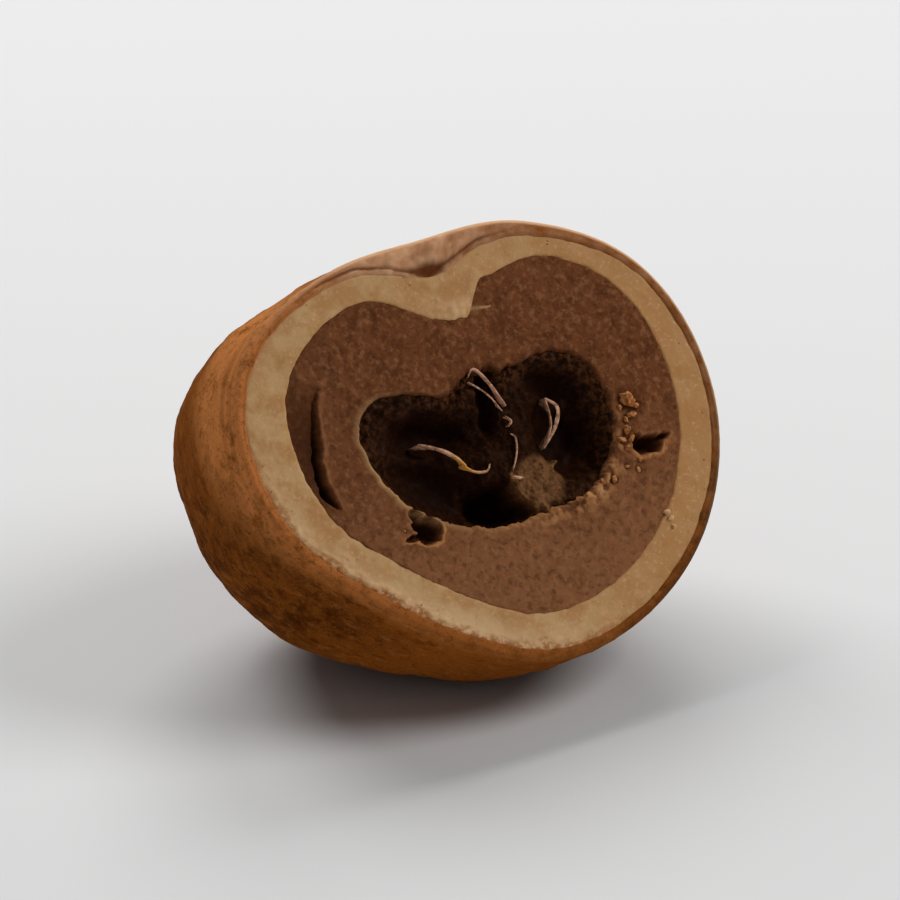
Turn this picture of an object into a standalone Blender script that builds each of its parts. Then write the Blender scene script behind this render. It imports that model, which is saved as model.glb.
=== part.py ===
"""A cut chocolate covered coffee bean, lying on its round side with the cut face up.

A roasted coffee bean sits in milk chocolate, inside a layer of cream-coloured chocolate and
a thin coat of cocoa. Lengths are in millimetres until finish() scales a piece to metres. The
cut face has its own frame: u runs to the right in it, v runs up in it, and a depth is measured
from it into the food.
"""

import math

import bmesh
import bpy
from mathutils import Matrix, Vector, noise

METRES = 0.001

# How the cut face stands: the point its radii are measured from, and where it looks.
FACE_POINT = Vector((1.19, -1.61, 6.85))
FACE_TURN = math.radians(32.5)
FACE_RISE = math.radians(36.7)

# The food behind the face: where it is widest, how far it reaches back from there, how full its
# round side is (2 is an ellipse), how its middle line leans in u and v for each unit of depth,
# and a fuller part of the side as height, angle, width and the depth where it has grown.
WIDEST_DEPTH = 0.55
BACK_REACH = 7.4
FULLNESS = 2.2
LEAN = (-0.168, -0.01)
SIDE_SWELL = (0.75, 214.0, 28.0, 2.5)

# Unevenness of the round side: size and height of the broad lumps and of the coat's own small
# ones, and the depth where they have full height, so that the face keeps its outline.
BROAD_LUMPS = (0.56, 0.22)
SMALL_LUMPS = (1.6, 0.08)
LUMPS_GROWN = 2.0

# Radii of the cream layer's outside in the cut face, every 30 degrees from u towards v.
FACE_RADII = [7.01, 7.0, 6.22, 5.65, 6.45, 7.46, 6.81, 5.55, 5.29, 5.8, 6.16, 6.63]

# Walls of the layers, and where they are thicker or thinner: amount, angle and width.
COAT_WALL = 0.28
COAT_CHANGES = [(0.17, 78.0, 32.0)]
CREAM_WALL = 1.03
CREAM_CHANGES = [(-0.75, 80.6, 54.0), (0.31, 162.0, 37.0)]

# The fold at the top of the face: depth, angle and width for each layer, and how far back it
# has faded.
FOLDS = {
    "cocoa_coat": (0.0, 90.7, 15.7),
    "cream_layer": (0.64, 90.7, 15.7),
    "milk_filling": (1.62, 86.4, 20.9),
}
FOLD_REACH = 3.0

# How far inside the food's own skin each layer starts.
INSET = {
    "cocoa_coat": 0.0,
    "cream_layer": COAT_WALL,
    "milk_filling": COAT_WALL + CREAM_WALL,
}

# Clearance between two layers that touch, and how far a cutter stands out of the face.
GAP = 0.03
CUTTER_AHEAD = 2.0

# The coffee bean: its middle in the face, its radii there every 30 degrees, where it is widest,
# how far it reaches from there, and the angle from its front pole where its skin starts.
BEAN_MIDDLE = (0.10, -0.05)
BEAN_RADII = [3.85, 3.75, 2.35, 2.2, 2.15, 4.05, 3.5, 2.65, 2.25, 2.15, 2.35, 3.3]
BEAN_WIDEST_DEPTH = 0.8
BEAN_REACH = 5.0
BEAN_START = math.radians(60)

# The broken face of the bean: how far it lies back, the size and height of its grain, and its
# hollows as u and v from the bean's middle, half width, half height, turn and depth.
BEAN_RECESS = 0.06
BEAN_GRAIN = (0.55, 0.12)
HOLLOWS = {
    "left_lobe": (-1.6, 0.9, 1.35, 0.5, -12.0, 1.0),
    "lower_basin": (-1.9, -0.55, 1.6, 0.75, -38.0, 0.9),
    "deep_pocket": (-0.2, -1.55, 0.8, 0.55, -10.0, 1.6),
    "right_lobe": (2.4, -0.25, 0.85, 1.1, 10.0, 1.2),
    "upper_right": (2.5, 1.2, 0.9, 0.4, -30.0, 0.7),
    "crease": (0.3, 1.5, 0.22, 0.9, -12.0, 0.6),
}
BREAK_HALF_WIDTH = 4.83
BREAK_HALF_HEIGHT = 3.45
BREAK_CELL = 0.23
BREAK_AHEAD = 5.0

# Papery skin that stands in the bean's folds: u and v of each point from the bean's middle.
SKINS = {
    "fold": [(0.1, 1.85), (0.7, 1.0), (0.48, 0.27), (0.18, -0.67)],
    "left_curl": [(-0.35, -0.5), (-1.05, -0.15), (-1.2, 0.2), (-2.08, 0.75)],
    "right_curl": [(2.17, 0.82), (2.28, 0.44), (1.46, -0.35)],
}
SKIN_THICKNESS = 0.16
SKIN_TOP = 0.12
SKIN_TOP_RAGGED = 0.1
SKIN_FOOT = 1.6
SKIN_STEPS = 4

# Small holes in the milk chocolate: u, v, half width, half height, depth and turn, and how
# uneven they are.
HOLES = {
    "lower_left": (-2.6, -1.55, 0.42, 0.36, 0.9, 20.0),
    "right": (4.6, -1.15, 0.55, 0.26, 0.7, 12.0),
}
HOLE_RAGGED = 0.25

# A step where a sliver of milk chocolate broke away beside the cream layer: the angles it runs
# between, its inner radius, its floor's depth, and the crack along its inner side.
STEP_ANGLES = (146.0, 184.0)
STEP_RADIUS = 5.4
STEP_DEPTH = 0.28
STEP_PIECES = 14
STEP_RAGGED = 0.1
CRACK_DEPTH = 0.6
CRACK_WIDTH = 0.18
STEP_BEYOND = 0.3

COAT_SEGMENTS, COAT_RINGS = 72, 16
LAYER_SEGMENTS, LAYER_RINGS = 60, 12
BEAN_SEGMENTS, BEAN_RINGS = 44, 9

COLOURS = {
    "cocoa_coat": ((0.26, 0.10, 0.03), 0.95),
    "cream_layer": ((0.62, 0.45, 0.24), 0.5),
    "milk_filling": ((0.20, 0.09, 0.05), 0.6),
    "coffee_bean": ((0.02, 0.012, 0.008), 0.45),
}
SHARP_ANGLE = math.radians(40)


def face_axes():
    """The u, v and outward directions of the cut face."""
    u = Vector((math.cos(FACE_TURN), math.sin(FACE_TURN), 0))
    level = Vector((math.sin(FACE_TURN), -math.cos(FACE_TURN), 0))
    out = level * math.cos(FACE_RISE) + Vector((0, 0, math.sin(FACE_RISE)))
    return u, out.cross(u), out


def place(u, v, depth):
    """A point given in the cut face's frame, in the part's frame."""
    along_u, along_v, out = face_axes()
    return FACE_POINT + along_u * u + along_v * v - out * depth


def hill(angle, centre, width):
    """1 at an angle in degrees, falling smoothly to 0 on both sides."""
    away = (angle - centre + 180) % 360 - 180
    return math.exp(-((away / width) ** 2))


def between(before, start, end, after, share):
    """The smooth curve through four values, at a share of the way between the middle two."""
    slope = end - before
    bend = 2 * before - 5 * start + 4 * end - after
    twist = 3 * (start - end) + after - before
    return start + 0.5 * share * (slope + share * (bend + share * twist))


def smooth_radius(radii, angle):
    """A radius on the smooth closed curve through evenly spaced radii."""
    position = angle % 360 * len(radii) / 360
    i = int(position)
    near = [radii[(i + k) % len(radii)] for k in (-1, 0, 1, 2)]
    return between(*near, position - i)


def smooth_path(points, steps):
    """Points on the smooth open curve through a few points of a plane."""
    ends = [points[0], *points, points[-1]]
    path = []
    for near in zip(ends, ends[1:], ends[2:], ends[3:]):
        for k in range(steps):
            path.append([between(*values, k / steps) for values in zip(*near)])
    return [*path, points[-1]]


def wall(thickness, changes, angle):
    """A layer's wall at an angle."""
    return thickness + sum(amount * hill(angle, *where) for amount, *where in changes)


def layer_radius(layer, angle, depth):
    """The radius of a layer's outside at a depth, before the food narrows to the back."""
    radius = smooth_radius(FACE_RADII, angle)
    if layer == "cocoa_coat":
        radius += wall(COAT_WALL, COAT_CHANGES, angle)
    if layer == "milk_filling":
        radius -= wall(CREAM_WALL, CREAM_CHANGES, angle)
    fold, centre, width = FOLDS[layer]
    radius -= fold * hill(angle, centre, width) * math.exp(-((depth / FOLD_REACH) ** 2))
    swell, centre, width, grown = SIDE_SWELL
    return radius + swell * hill(angle, centre, width) * (1 - math.exp(-((depth / grown) ** 2)))


def layer_reach(layer, grow):
    """How far a layer reaches back from where the food is widest."""
    return BACK_REACH - INSET[layer] + grow


def narrowing(share):
    """How wide the food is, as a part of its widest, at a share of its reach."""
    return (1 - min(1, abs(share)) ** FULLNESS) ** (1 / FULLNESS)


def layer_point(layer, angle, polar, grow):
    """A point of a layer's skin. polar is 0 at the front pole and pi at the back one."""
    reach = layer_reach(layer, grow)
    depth = WIDEST_DEPTH - reach * math.cos(polar)
    radius = layer_radius(layer, angle, depth) + grow
    radius *= narrowing(math.cos(polar)) / narrowing(WIDEST_DEPTH / reach)
    turn = math.radians(angle)
    u = radius * math.cos(turn) + LEAN[0] * depth
    v = radius * math.sin(turn) + LEAN[1] * depth
    middle = place(LEAN[0] * depth, LEAN[1] * depth, WIDEST_DEPTH)
    point = place(u, v, depth)
    outward = (point - middle).normalized()
    lumps = BROAD_LUMPS[1] * noise.noise(outward / BROAD_LUMPS[0])
    if layer == "cocoa_coat":
        lumps += SMALL_LUMPS[1] * noise.noise((point - FACE_POINT) / SMALL_LUMPS[0])
    point += outward * lumps * min(1, depth / LUMPS_GROWN)
    point.z = max(point.z, INSET[layer] - grow)
    return point


def finished(name, skin):
    """Turns a bmesh into a linked object, with its faces pointing out."""
    bmesh.ops.recalc_face_normals(skin, faces=skin.faces)
    mesh = bpy.data.meshes.new(name)
    skin.to_mesh(mesh)
    skin.free()
    piece = bpy.data.objects.new(name, mesh)
    bpy.context.scene.collection.objects.link(piece)
    return piece


def bridge(skin, near, far):
    """Faces between two closed loops of as many corners."""
    for i in range(len(near)):
        j = (i + 1) % len(near)
        skin.faces.new((near[i], far[i], far[j], near[j]))


def loops_piece(name, loops, tip):
    """A closed skin through loops of points, flat inside the first loop and pointed at the tip."""
    skin = bmesh.new()
    rows = [[skin.verts.new(point) for point in loop] for loop in loops]
    for near, far in zip(rows, rows[1:]):
        bridge(skin, near, far)
    middle = skin.verts.new(sum(loops[0], Vector()) / len(loops[0]))
    end = skin.verts.new(tip)
    for i in range(len(rows[0])):
        j = (i + 1) % len(rows[0])
        skin.faces.new((rows[0][j], middle, rows[0][i]))
        skin.faces.new((rows[-1][i], end, rows[-1][j]))
    return finished(name, skin)


def bar_piece(name, sections):
    """A closed bar through sections of as many corners, with flat ends."""
    skin = bmesh.new()
    rows = [[skin.verts.new(point) for point in section] for section in sections]
    for near, far in zip(rows, rows[1:]):
        bridge(skin, near, far)
    skin.faces.new(rows[0])
    skin.faces.new(rows[-1])
    return finished(name, skin)


def layer_piece(name, layer, segments, rings, grow=0.0, ahead=0.0):
    """The closed skin of a layer behind the cut face. A cutter also stands out of the face."""
    first = math.acos(WIDEST_DEPTH / layer_reach(layer, grow))
    angles = [360 * i / segments for i in range(segments)]
    polars = [first + (math.pi - first) * k / rings for k in range(rings)]
    loops = [[layer_point(layer, angle, polar, grow) for angle in angles] for polar in polars]
    if ahead:
        out = face_axes()[2]
        loops.insert(0, [point + out * ahead for point in loops[0]])
    return loops_piece(name, loops, layer_point(layer, 0, math.pi, grow))


def bean_place(u, v, depth):
    """A point given from the bean's middle, in the part's frame."""
    return place(BEAN_MIDDLE[0] + u, BEAN_MIDDLE[1] + v, depth)


def bean_point(angle, polar, grow):
    """A point of the coffee bean's skin."""
    radius = (smooth_radius(BEAN_RADII, angle) + grow) * math.sin(polar)
    depth = BEAN_WIDEST_DEPTH - (BEAN_REACH + grow) * math.cos(polar)
    turn = math.radians(angle)
    return bean_place(radius * math.cos(turn), radius * math.sin(turn), depth)


def bean_piece(name, grow=0.0):
    """The closed skin of the coffee bean, which starts well ahead of the cut face."""
    angles = [360 * (i + 0.37) / BEAN_SEGMENTS for i in range(BEAN_SEGMENTS)]
    polars = [BEAN_START + (math.pi - BEAN_START) * k / BEAN_RINGS for k in range(BEAN_RINGS)]
    loops = [[bean_point(angle, polar, grow) for angle in angles] for polar in polars]
    return loops_piece(name, loops, bean_point(0, math.pi, grow))


def break_depth(u, v):
    """How deep the broken face of the bean lies at u and v from its middle."""
    size, height = BEAN_GRAIN
    depth = BEAN_RECESS + height * (0.5 + noise.noise(Vector((u, v, 0)) / size))
    for centre_u, centre_v, half_width, half_height, turn, deepest in HOLLOWS.values():
        spot = Vector((u - centre_u, v - centre_v))
        spot.rotate(Matrix.Rotation(math.radians(-turn), 2))
        away = math.hypot(spot.x / half_width, spot.y / half_height)
        depth += deepest * math.exp(-(away**3))
    return depth


def break_block(name):
    """A block ahead of the bean whose back has the shape of the broken face."""
    block = bmesh.new()
    columns = round(2 * BREAK_HALF_WIDTH / BREAK_CELL)
    rows = round(2 * BREAK_HALF_HEIGHT / BREAK_CELL)
    back = []
    for i in range(columns + 1):
        u = BREAK_CELL * i - BREAK_HALF_WIDTH
        heights = [BREAK_CELL * j - BREAK_HALF_HEIGHT for j in range(rows + 1)]
        back.append([block.verts.new(bean_place(u, v, break_depth(u, v))) for v in heights])
    for near, far in zip(back, back[1:]):
        for j in range(rows):
            block.faces.new((near[j], far[j], far[j + 1], near[j + 1]))
    front = bmesh.ops.extrude_face_region(block, geom=block.faces[:])["geom"]
    out = face_axes()[2]
    level = FACE_POINT + out * BREAK_AHEAD
    for corner in [item for item in front if isinstance(item, bmesh.types.BMVert)]:
        corner.co -= out * (corner.co - level).dot(out)
    return finished(name, block)


def skin_strip(name, points):
    """A thin upright strip of papery skin along a smooth line in the bean."""
    path = smooth_path(points, SKIN_STEPS)
    sections = []
    for i, (u, v) in enumerate(path):
        before, after = path[max(i - 1, 0)], path[min(i + 1, len(path) - 1)]
        along = Vector((after[0] - before[0], after[1] - before[1])).normalized()
        side = Vector((-along.y, along.x)) * SKIN_THICKNESS / 2
        top = SKIN_TOP + SKIN_TOP_RAGGED * noise.noise(Vector((u, v, 3)))
        corners = ((side, top), (side, SKIN_FOOT), (-side, SKIN_FOOT), (-side, top))
        sections.append([bean_place(u + away.x, v + away.y, depth) for away, depth in corners])
    return bar_piece(name, sections)


def hole_cutter(name, u, v, half_width, half_height, depth, turn):
    """A small uneven egg that leaves a hole in the milk chocolate."""
    egg = bmesh.new()
    bmesh.ops.create_icosphere(egg, subdivisions=2, radius=1)
    for corner in egg.verts:
        unit = corner.co * (1 + HOLE_RAGGED * noise.noise(corner.co * 1.7 + Vector((u, v, 0))))
        spot = Vector((unit.x * half_width, unit.y * half_height))
        spot.rotate(Matrix.Rotation(math.radians(turn), 2))
        corner.co = place(u + spot.x, v + spot.y, unit.z * depth)
    return finished(name, egg)


def step_cutter(name):
    """A bent wedge that lowers the milk chocolate beside the cream layer and leaves a crack."""
    start, end = STEP_ANGLES
    sections = []
    for i in range(STEP_PIECES + 1):
        share = i / STEP_PIECES
        angle = start + (end - start) * share
        swell = max(0.4, math.sin(math.pi * share)) ** 0.5
        inner = STEP_RADIUS + STEP_RAGGED * math.sin(9 * share)
        outer = layer_radius("milk_filling", angle, 0) + STEP_BEYOND
        crack = CRACK_DEPTH * swell * (0.35 + 0.65 * share)
        step = STEP_DEPTH * swell
        corners = (
            (inner, -CUTTER_AHEAD),
            (inner, crack),
            (inner + CRACK_WIDTH, 0.7 * crack),
            (inner + 1.7 * CRACK_WIDTH, step),
            (outer, 0.6 * step),
            (outer, -CUTTER_AHEAD),
        )
        turn = math.radians(angle)
        u, v = math.cos(turn), math.sin(turn)
        sections.append([place(radius * u, radius * v, depth) for radius, depth in corners])
    return bar_piece(name, sections)


def change(piece, operation, tools):
    """Applies one Boolean with all the tools to a piece, and removes the tools."""
    together = bpy.data.collections.new("tools")
    bpy.context.scene.collection.children.link(together)
    for tool in tools:
        bpy.context.scene.collection.objects.unlink(tool)
        together.objects.link(tool)
    modifier = piece.modifiers.new("boolean", "BOOLEAN")
    modifier.operation = operation
    modifier.solver = "EXACT"
    modifier.operand_type = "COLLECTION"
    modifier.collection = together
    bpy.context.view_layer.objects.active = piece
    bpy.ops.object.modifier_apply(modifier=modifier.name)
    for tool in tools:
        bpy.data.objects.remove(tool)
    bpy.data.collections.remove(together)


def room_for(layer):
    """A cutter that makes room for a layer and its clearance, and stands out of the face."""
    return layer_piece("room", layer, LAYER_SEGMENTS, LAYER_RINGS, GAP, CUTTER_AHEAD)


def make_coat():
    """The cocoa coat, hollowed for the cream layer."""
    coat = layer_piece("cocoa_coat", "cocoa_coat", COAT_SEGMENTS, COAT_RINGS)
    change(coat, "DIFFERENCE", [room_for("cream_layer")])
    return coat


def make_cream():
    """The cream-coloured layer, hollowed for the milk chocolate."""
    cream = layer_piece("cream_layer", "cream_layer", LAYER_SEGMENTS, LAYER_RINGS)
    change(cream, "DIFFERENCE", [room_for("milk_filling")])
    return cream


def make_milk():
    """The milk chocolate, hollowed for the bean, with its step and its small holes."""
    milk = layer_piece("milk_filling", "milk_filling", LAYER_SEGMENTS, LAYER_RINGS)
    holes = [hole_cutter(name, *sizes) for name, sizes in HOLES.items()]
    change(milk, "DIFFERENCE", [step_cutter("step"), bean_piece("room", GAP), *holes])
    return milk


def make_bean():
    """The broken coffee bean with its papery skins."""
    bean = bean_piece("coffee_bean")
    change(bean, "DIFFERENCE", [break_block("break")])
    change(bean, "UNION", [skin_strip(name, points) for name, points in SKINS.items()])
    return bean


def finish(piece):
    """Scales a piece to metres, and gives it its material and smooth sides with sharp edges."""
    piece.data.transform(Matrix.Scale(METRES, 4))
    colour, roughness = COLOURS[piece.name]
    material = bpy.data.materials.new(piece.name)
    material.use_nodes = True
    shader = material.node_tree.nodes["Principled BSDF"]
    shader.inputs["Base Color"].default_value = (*colour, 1)
    shader.inputs["Roughness"].default_value = roughness
    shader.inputs["Metallic"].default_value = 0
    piece.data.materials.append(material)
    piece.data.shade_smooth()
    piece.data.set_sharp_from_angle(angle=SHARP_ANGLE)


def main():
    for old in list(bpy.data.objects):
        bpy.data.objects.remove(old)
    for piece in (make_coat(), make_cream(), make_milk(), make_bean()):
        finish(piece)


main()
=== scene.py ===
"""Dresses the solids of a cut chocolate covered coffee bean, and sets a pale studio round it.

Lengths in the formulas are in millimetres, and the properties hold metres. The cut has its own
frame, as in the part's source: u runs to the right in it, v runs up in it, and a depth is
measured from it into the food. Angles in the cut run from u towards v, in degrees.
"""

import math

import bmesh
import bpy
import numpy as np
from bpy.props import FloatProperty, FloatVectorProperty, IntProperty, PointerProperty
from mathutils import Matrix, Vector, noise


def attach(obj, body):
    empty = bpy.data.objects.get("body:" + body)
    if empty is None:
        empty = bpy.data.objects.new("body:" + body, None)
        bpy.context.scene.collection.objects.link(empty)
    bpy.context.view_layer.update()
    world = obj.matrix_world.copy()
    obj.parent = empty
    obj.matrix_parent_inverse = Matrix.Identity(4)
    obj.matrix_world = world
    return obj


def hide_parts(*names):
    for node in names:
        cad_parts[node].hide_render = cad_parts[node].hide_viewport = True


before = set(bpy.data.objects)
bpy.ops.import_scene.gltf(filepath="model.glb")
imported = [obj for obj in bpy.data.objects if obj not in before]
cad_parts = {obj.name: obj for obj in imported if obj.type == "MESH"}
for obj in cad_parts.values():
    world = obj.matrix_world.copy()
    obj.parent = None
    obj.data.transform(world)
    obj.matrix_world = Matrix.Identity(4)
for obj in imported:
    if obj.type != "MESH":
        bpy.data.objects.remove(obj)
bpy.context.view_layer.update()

bl_info = {
    "name": "Cut Chocolate Covered Coffee Bean",
    "version": (1, 0, 0),
    "blender": (4, 5, 0),
    "location": "3D View > Sidebar > Sweets",
    "description": "Adds the layers, the bean, the papery skins and the crumbs of a cut sweet",
    "category": "Add Mesh",
}

MM = 0.001

# The food behind the cut, as in the part's source: its widest depth, how full its round side is,
# how its middle line leans, a fuller part of the side, and the lumps of its skin.
WIDEST_DEPTH = 0.55
FULLNESS = 2.2
LEAN = (-0.168, -0.01)
SIDE_SWELL = (0.75, 214.0, 28.0, 2.5)
BROAD_LUMPS = (0.56, 0.22)
SMALL_LUMPS = (1.6, 0.08)
LUMPS_GROWN = 2.0

# Where the walls are thicker or thinner, and the fold at the top of the cut: amount, angle, width.
COAT_CHANGES = [(0.17, 78.0, 32.0)]
CREAM_CHANGES = [(-0.75, 80.6, 54.0), (0.31, 162.0, 37.0)]
FOLDS = {
    "cocoa_coat": (0.0, 90.7, 15.7),
    "cream_layer": (0.64, 90.7, 15.7),
    "milk_filling": (1.62, 86.4, 20.9),
}
FOLD_REACH = 3.0

# The sharper corner of the fold in the milk chocolate's edge: amount, angle and width.
FOLD_CORNER = [(-0.26, 103.0, 8.0), (-0.2, 80.0, 3.2), (0.34, 73.6, 3.6)]

# How much two neighbours overlap, so that no gap shows between them.
OVERLAP = 0.03

# How finely each layer's cup is laid out: segments round it, bands on its outside, across its cut
# and on its inside, and the parts that each of these is divided into.
CUPS = {
    "cocoa_coat_skin": (60, 19, 3, 2, 7),
    "cream_layer_cut": (90, 2, 6, 2, 6),
    "milk_filling_cut": (80, 2, 11, 3, 8),
    "coffee_bean_broken": (55, 2, 1, 14, 8),
}

# How deep the coat's outside starts, how far its cut edge is rounded, and how much it stands out.
COAT_EDGE = 0.12
LIP_ROUND = 0.14
LIP_RISE = 0.03

# Dark streaks along the cut's edge: depth and half width.
COAT_STREAKS = ((0.3, 0.06), (0.62, 0.08))

# Places round the coat, as an angle and a width: the dusty upper left, which also gets painted
# light, the lower right, which gets painted shade, the bumpy right, and the ridge beside the fold.
DUSTY_LIT_SIDE = (152, 26)
SHADED_RIM_SIDE = (322, 42)
BUMPY_SIDE = (325, 50)
RIDGE = (98, 30)

# The coat's dust and its darker parts: amount, angle, width, and the depths where they change.
# The first row of dust, on the upper left, is also painted light; the darker parts are mottles
# and painted shade, on the left, the lower left and the right rim.
COAT_DUST = ((1.6, 148, 24, 0.9, 2.8), (0.6, 175, 22, 0.5, 1.3), (0.35, 215, 30, 0.2, 0.6))
COAT_MOTTLED_AND_SHADED = ((0.3, 174, 16, 1.2, 2.4), (0.6, 202, 22, 0.3, 1.1), (0.6, 330, 50, 0.15, 0.5))

# The pale lip with its painted highlight, the groove with painted shade in it, and the dark seam
# beside the cream: amount, angle and width.
LIP_PALE_AND_HIGHLIT = ((1, 50, 45), (1, 98, 28), (0.6, 5, 35))
GROOVE = ((1, 91, 7), (0.6, 76, 9), (0.6, 112, 14))
SEAM = ((0.33, 45, 50), (0.33, 150, 32))

# The cream's crumbly edge and the hook at the fold, as an angle and a width, and where the cream
# gets painted light, where it is deep and where it is stained by the coat: amount, angle and
# width.
CREAM_CRUMBLY = (202, 36)
CREAM_HOOK = (84, 12)
CREAM_PAINTED_LIGHT = ((0.85, 246, 36), (0.3, 190, 40))
CREAM_DEEP = ((1, 20, 60), (1, 330, 35))
CREAM_STAIN = ((1, 207, 40), (0.7, 268, 30))

# The bean: its middle in the cut, where it is widest, and the hollows of its broken face as
# u and v from its middle, half width, half height, turn and depth.
BEAN_MIDDLE = (0.10, -0.05)
BEAN_WIDEST_DEPTH = 0.8
BEAN_REACH = 5.0
BEAN_RECESS = 0.06
BEAN_GRAIN = (0.55, 0.12)
HOLLOWS = {
    "left_lobe": (-1.6, 0.9, 1.35, 0.5, -12.0, 1.0),
    "lower_basin": (-1.9, -0.55, 1.6, 0.75, -38.0, 0.9),
    "deep_pocket": (-0.2, -1.55, 0.8, 0.55, -10.0, 1.6),
    "right_lobe": (2.4, -0.25, 0.85, 1.1, 10.0, 1.2),
    "upper_right": (2.5, 1.2, 0.9, 0.4, -30.0, 0.7),
    "crease": (0.3, 1.5, 0.22, 0.9, -12.0, 0.6),
}

# The light granular wedge beside the bean's fold: its middle, reach and turn.
WEDGE = (1.05, -1.2, 0.74, 25.0)

# Small holes in the milk chocolate: u, v, half width, half height, depth and turn.
HOLES = {
    "lower_left": (-2.68, -1.55, 0.4, 0.4, 0.9, 20.0),
    "lower_left_end": (-3.12, -1.68, 0.3, 0.12, 0.35, 5.0),
    "lower_left_top": (-2.85, -1.15, 0.17, 0.3, 0.5, 30.0),
    "right": (4.72, -1.2, 0.5, 0.25, 0.8, -5.0),
    "right_end": (5.16, -1.12, 0.3, 0.1, 0.4, 10.0),
    "right_top": (4.42, -0.98, 0.2, 0.2, 0.5, 0.0),
}

# The step beside the cream layer: angles, inner radius, floor, and its crack's depth and width.
STEP_ANGLES = (146.0, 184.0)
STEP_RADIUS = 5.32
STEP_DEPTH = 0.28
CRACK_DEPTH = 1.0
CRACK_WIDTH = 0.09

# A thin smear of cream on the milk chocolate at the fold: two ends and a half width.
SMEAR = ((0.7, 3.86), (1.38, 3.76), 0.045)

# Papery skins in the bean's folds: points as u, v and height over the cut, from the bean's middle,
# how far the free edge rolls over, and to which side.
SKINS = {
    "fold": ([(-0.1, 2.1, 0.02), (0.12, 2.27, 0.1), (0.42, 1.75, 0.12), (0.72, 1.05, 0.06)],
             0.06, 1),
    "fold_side": ([(-0.12, 2.0, -0.02), (0.12, 1.75, 0.02), (0.4, 1.4, 0.0), (0.62, 0.95, -0.05)],
                  0.04, -1),
    "fold_speck": ([(0.6, 0.8, 0.0), (0.72, 0.62, 0.04), (0.6, 0.5, 0.0)], 0.05, 1),
    "fold_end": ([(0.62, 0.3, -0.02), (0.72, 0.12, 0.03), (0.6, -0.3, 0.0), (0.36, -0.72, -0.1)],
                 0.05, -1),
    "fold_foot": ([(0.28, -0.85, -0.05), (0.42, -0.95, 0.0), (0.6, -0.98, -0.04)], 0.06, 1),
    "left_curl": ([(-2.08, 0.78, -0.3), (-1.62, 0.48, -0.14), (-1.2, 0.12, -0.12),
                   (-1.02, -0.2, 0.0)], 0.08, 1),
    "left_end": ([(-1.1, -0.12, -0.06), (-0.82, -0.42, 0.0), (-0.45, -0.5, 0.02),
                  (-0.22, -0.28, -0.1)], 0.05, 1),
    "right_curl": ([(2.05, 0.95, -0.1), (2.3, 0.6, 0.0), (2.05, 0.1, 0.02),
                    (1.5, -0.38, -0.06)], 0.1, -1),
    "right_loop": ([(2.02, 0.95, -0.1), (1.98, 0.5, -0.04), (1.86, 0.1, -0.02),
                    (1.52, -0.36, -0.08)], 0.04, 1),
}
SKIN_STEPS = 6
SKIN_FOOT = 0.15
SKIN_HEIGHT = 0.08

# A skin's rows of points, from its foot to its free edge: the share of the roll, and the depth.
SKIN_ROWS = ((-0.25, None), (-0.1, 0.5 * SKIN_HEIGHT), (0.0, 0.0), (1.0, 0.02))

# Where light shines through a skin: u, v and reach.
GOLDEN_SKIN = (-1.05, -0.2, 0.42)

# Golden crumbs beside the right hole, as u, v and size, and single flakes of cream.
GOLDEN_CRUMBS = [
    (4.5, 0.16, 0.46), (4.26, 0.02, 0.2), (4.74, -0.06, 0.22), (4.5, -0.26, 0.26),
    (4.3, -0.34, 0.2), (4.2, -0.62, 0.34), (4.26, -0.9, 0.22), (3.95, -0.85, 0.24),
    (4.04, -1.12, 0.2), (4.3, -1.52, 0.18), (4.16, -1.78, 0.16), (3.84, -1.6, 0.14),
    (3.3, -1.82, 0.2), (2.95, -1.76, 0.17), (-3.34, -1.4, 0.1), (2.4, -2.0, 0.16),
]
CREAM_FLAKES = [(4.54, -3.14, 0.2), (4.58, -3.34, 0.22), (4.6, -3.56, 0.17), (0.52, 3.86, 0.13)]

# The reach of the pit that a crumb lies in and of the painted shade round it, as a part of the
# crumb's size, how many kinds of crumb are copied, and the start of the random places of the loose
# cocoa.
CRUMB_PIT = 0.8
CRUMB_KINDS = 4
LOOSE_START = 11

# Where the studio's lights stand: the turn about Z from the camera's side, and the rise.
LIGHTS = {"back_light": (180.0, 45.0), "right_light": (90.0, 45.0), "left_light": (225.0, 45.0)}
LIGHTS_AIM = (0, 0, 0.005)

# From the cut's point to the point that the camera looks at, the camera's sensor in millimetres
# and the floor's width in metres.
VIEW_SHIFT = (-0.00115, 0, -0.00004)
SENSOR_WIDTH = 36
FLOOR_WIDTH = 4


def mm(length):
    """A property's length in millimetres."""
    return length / MM


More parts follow.
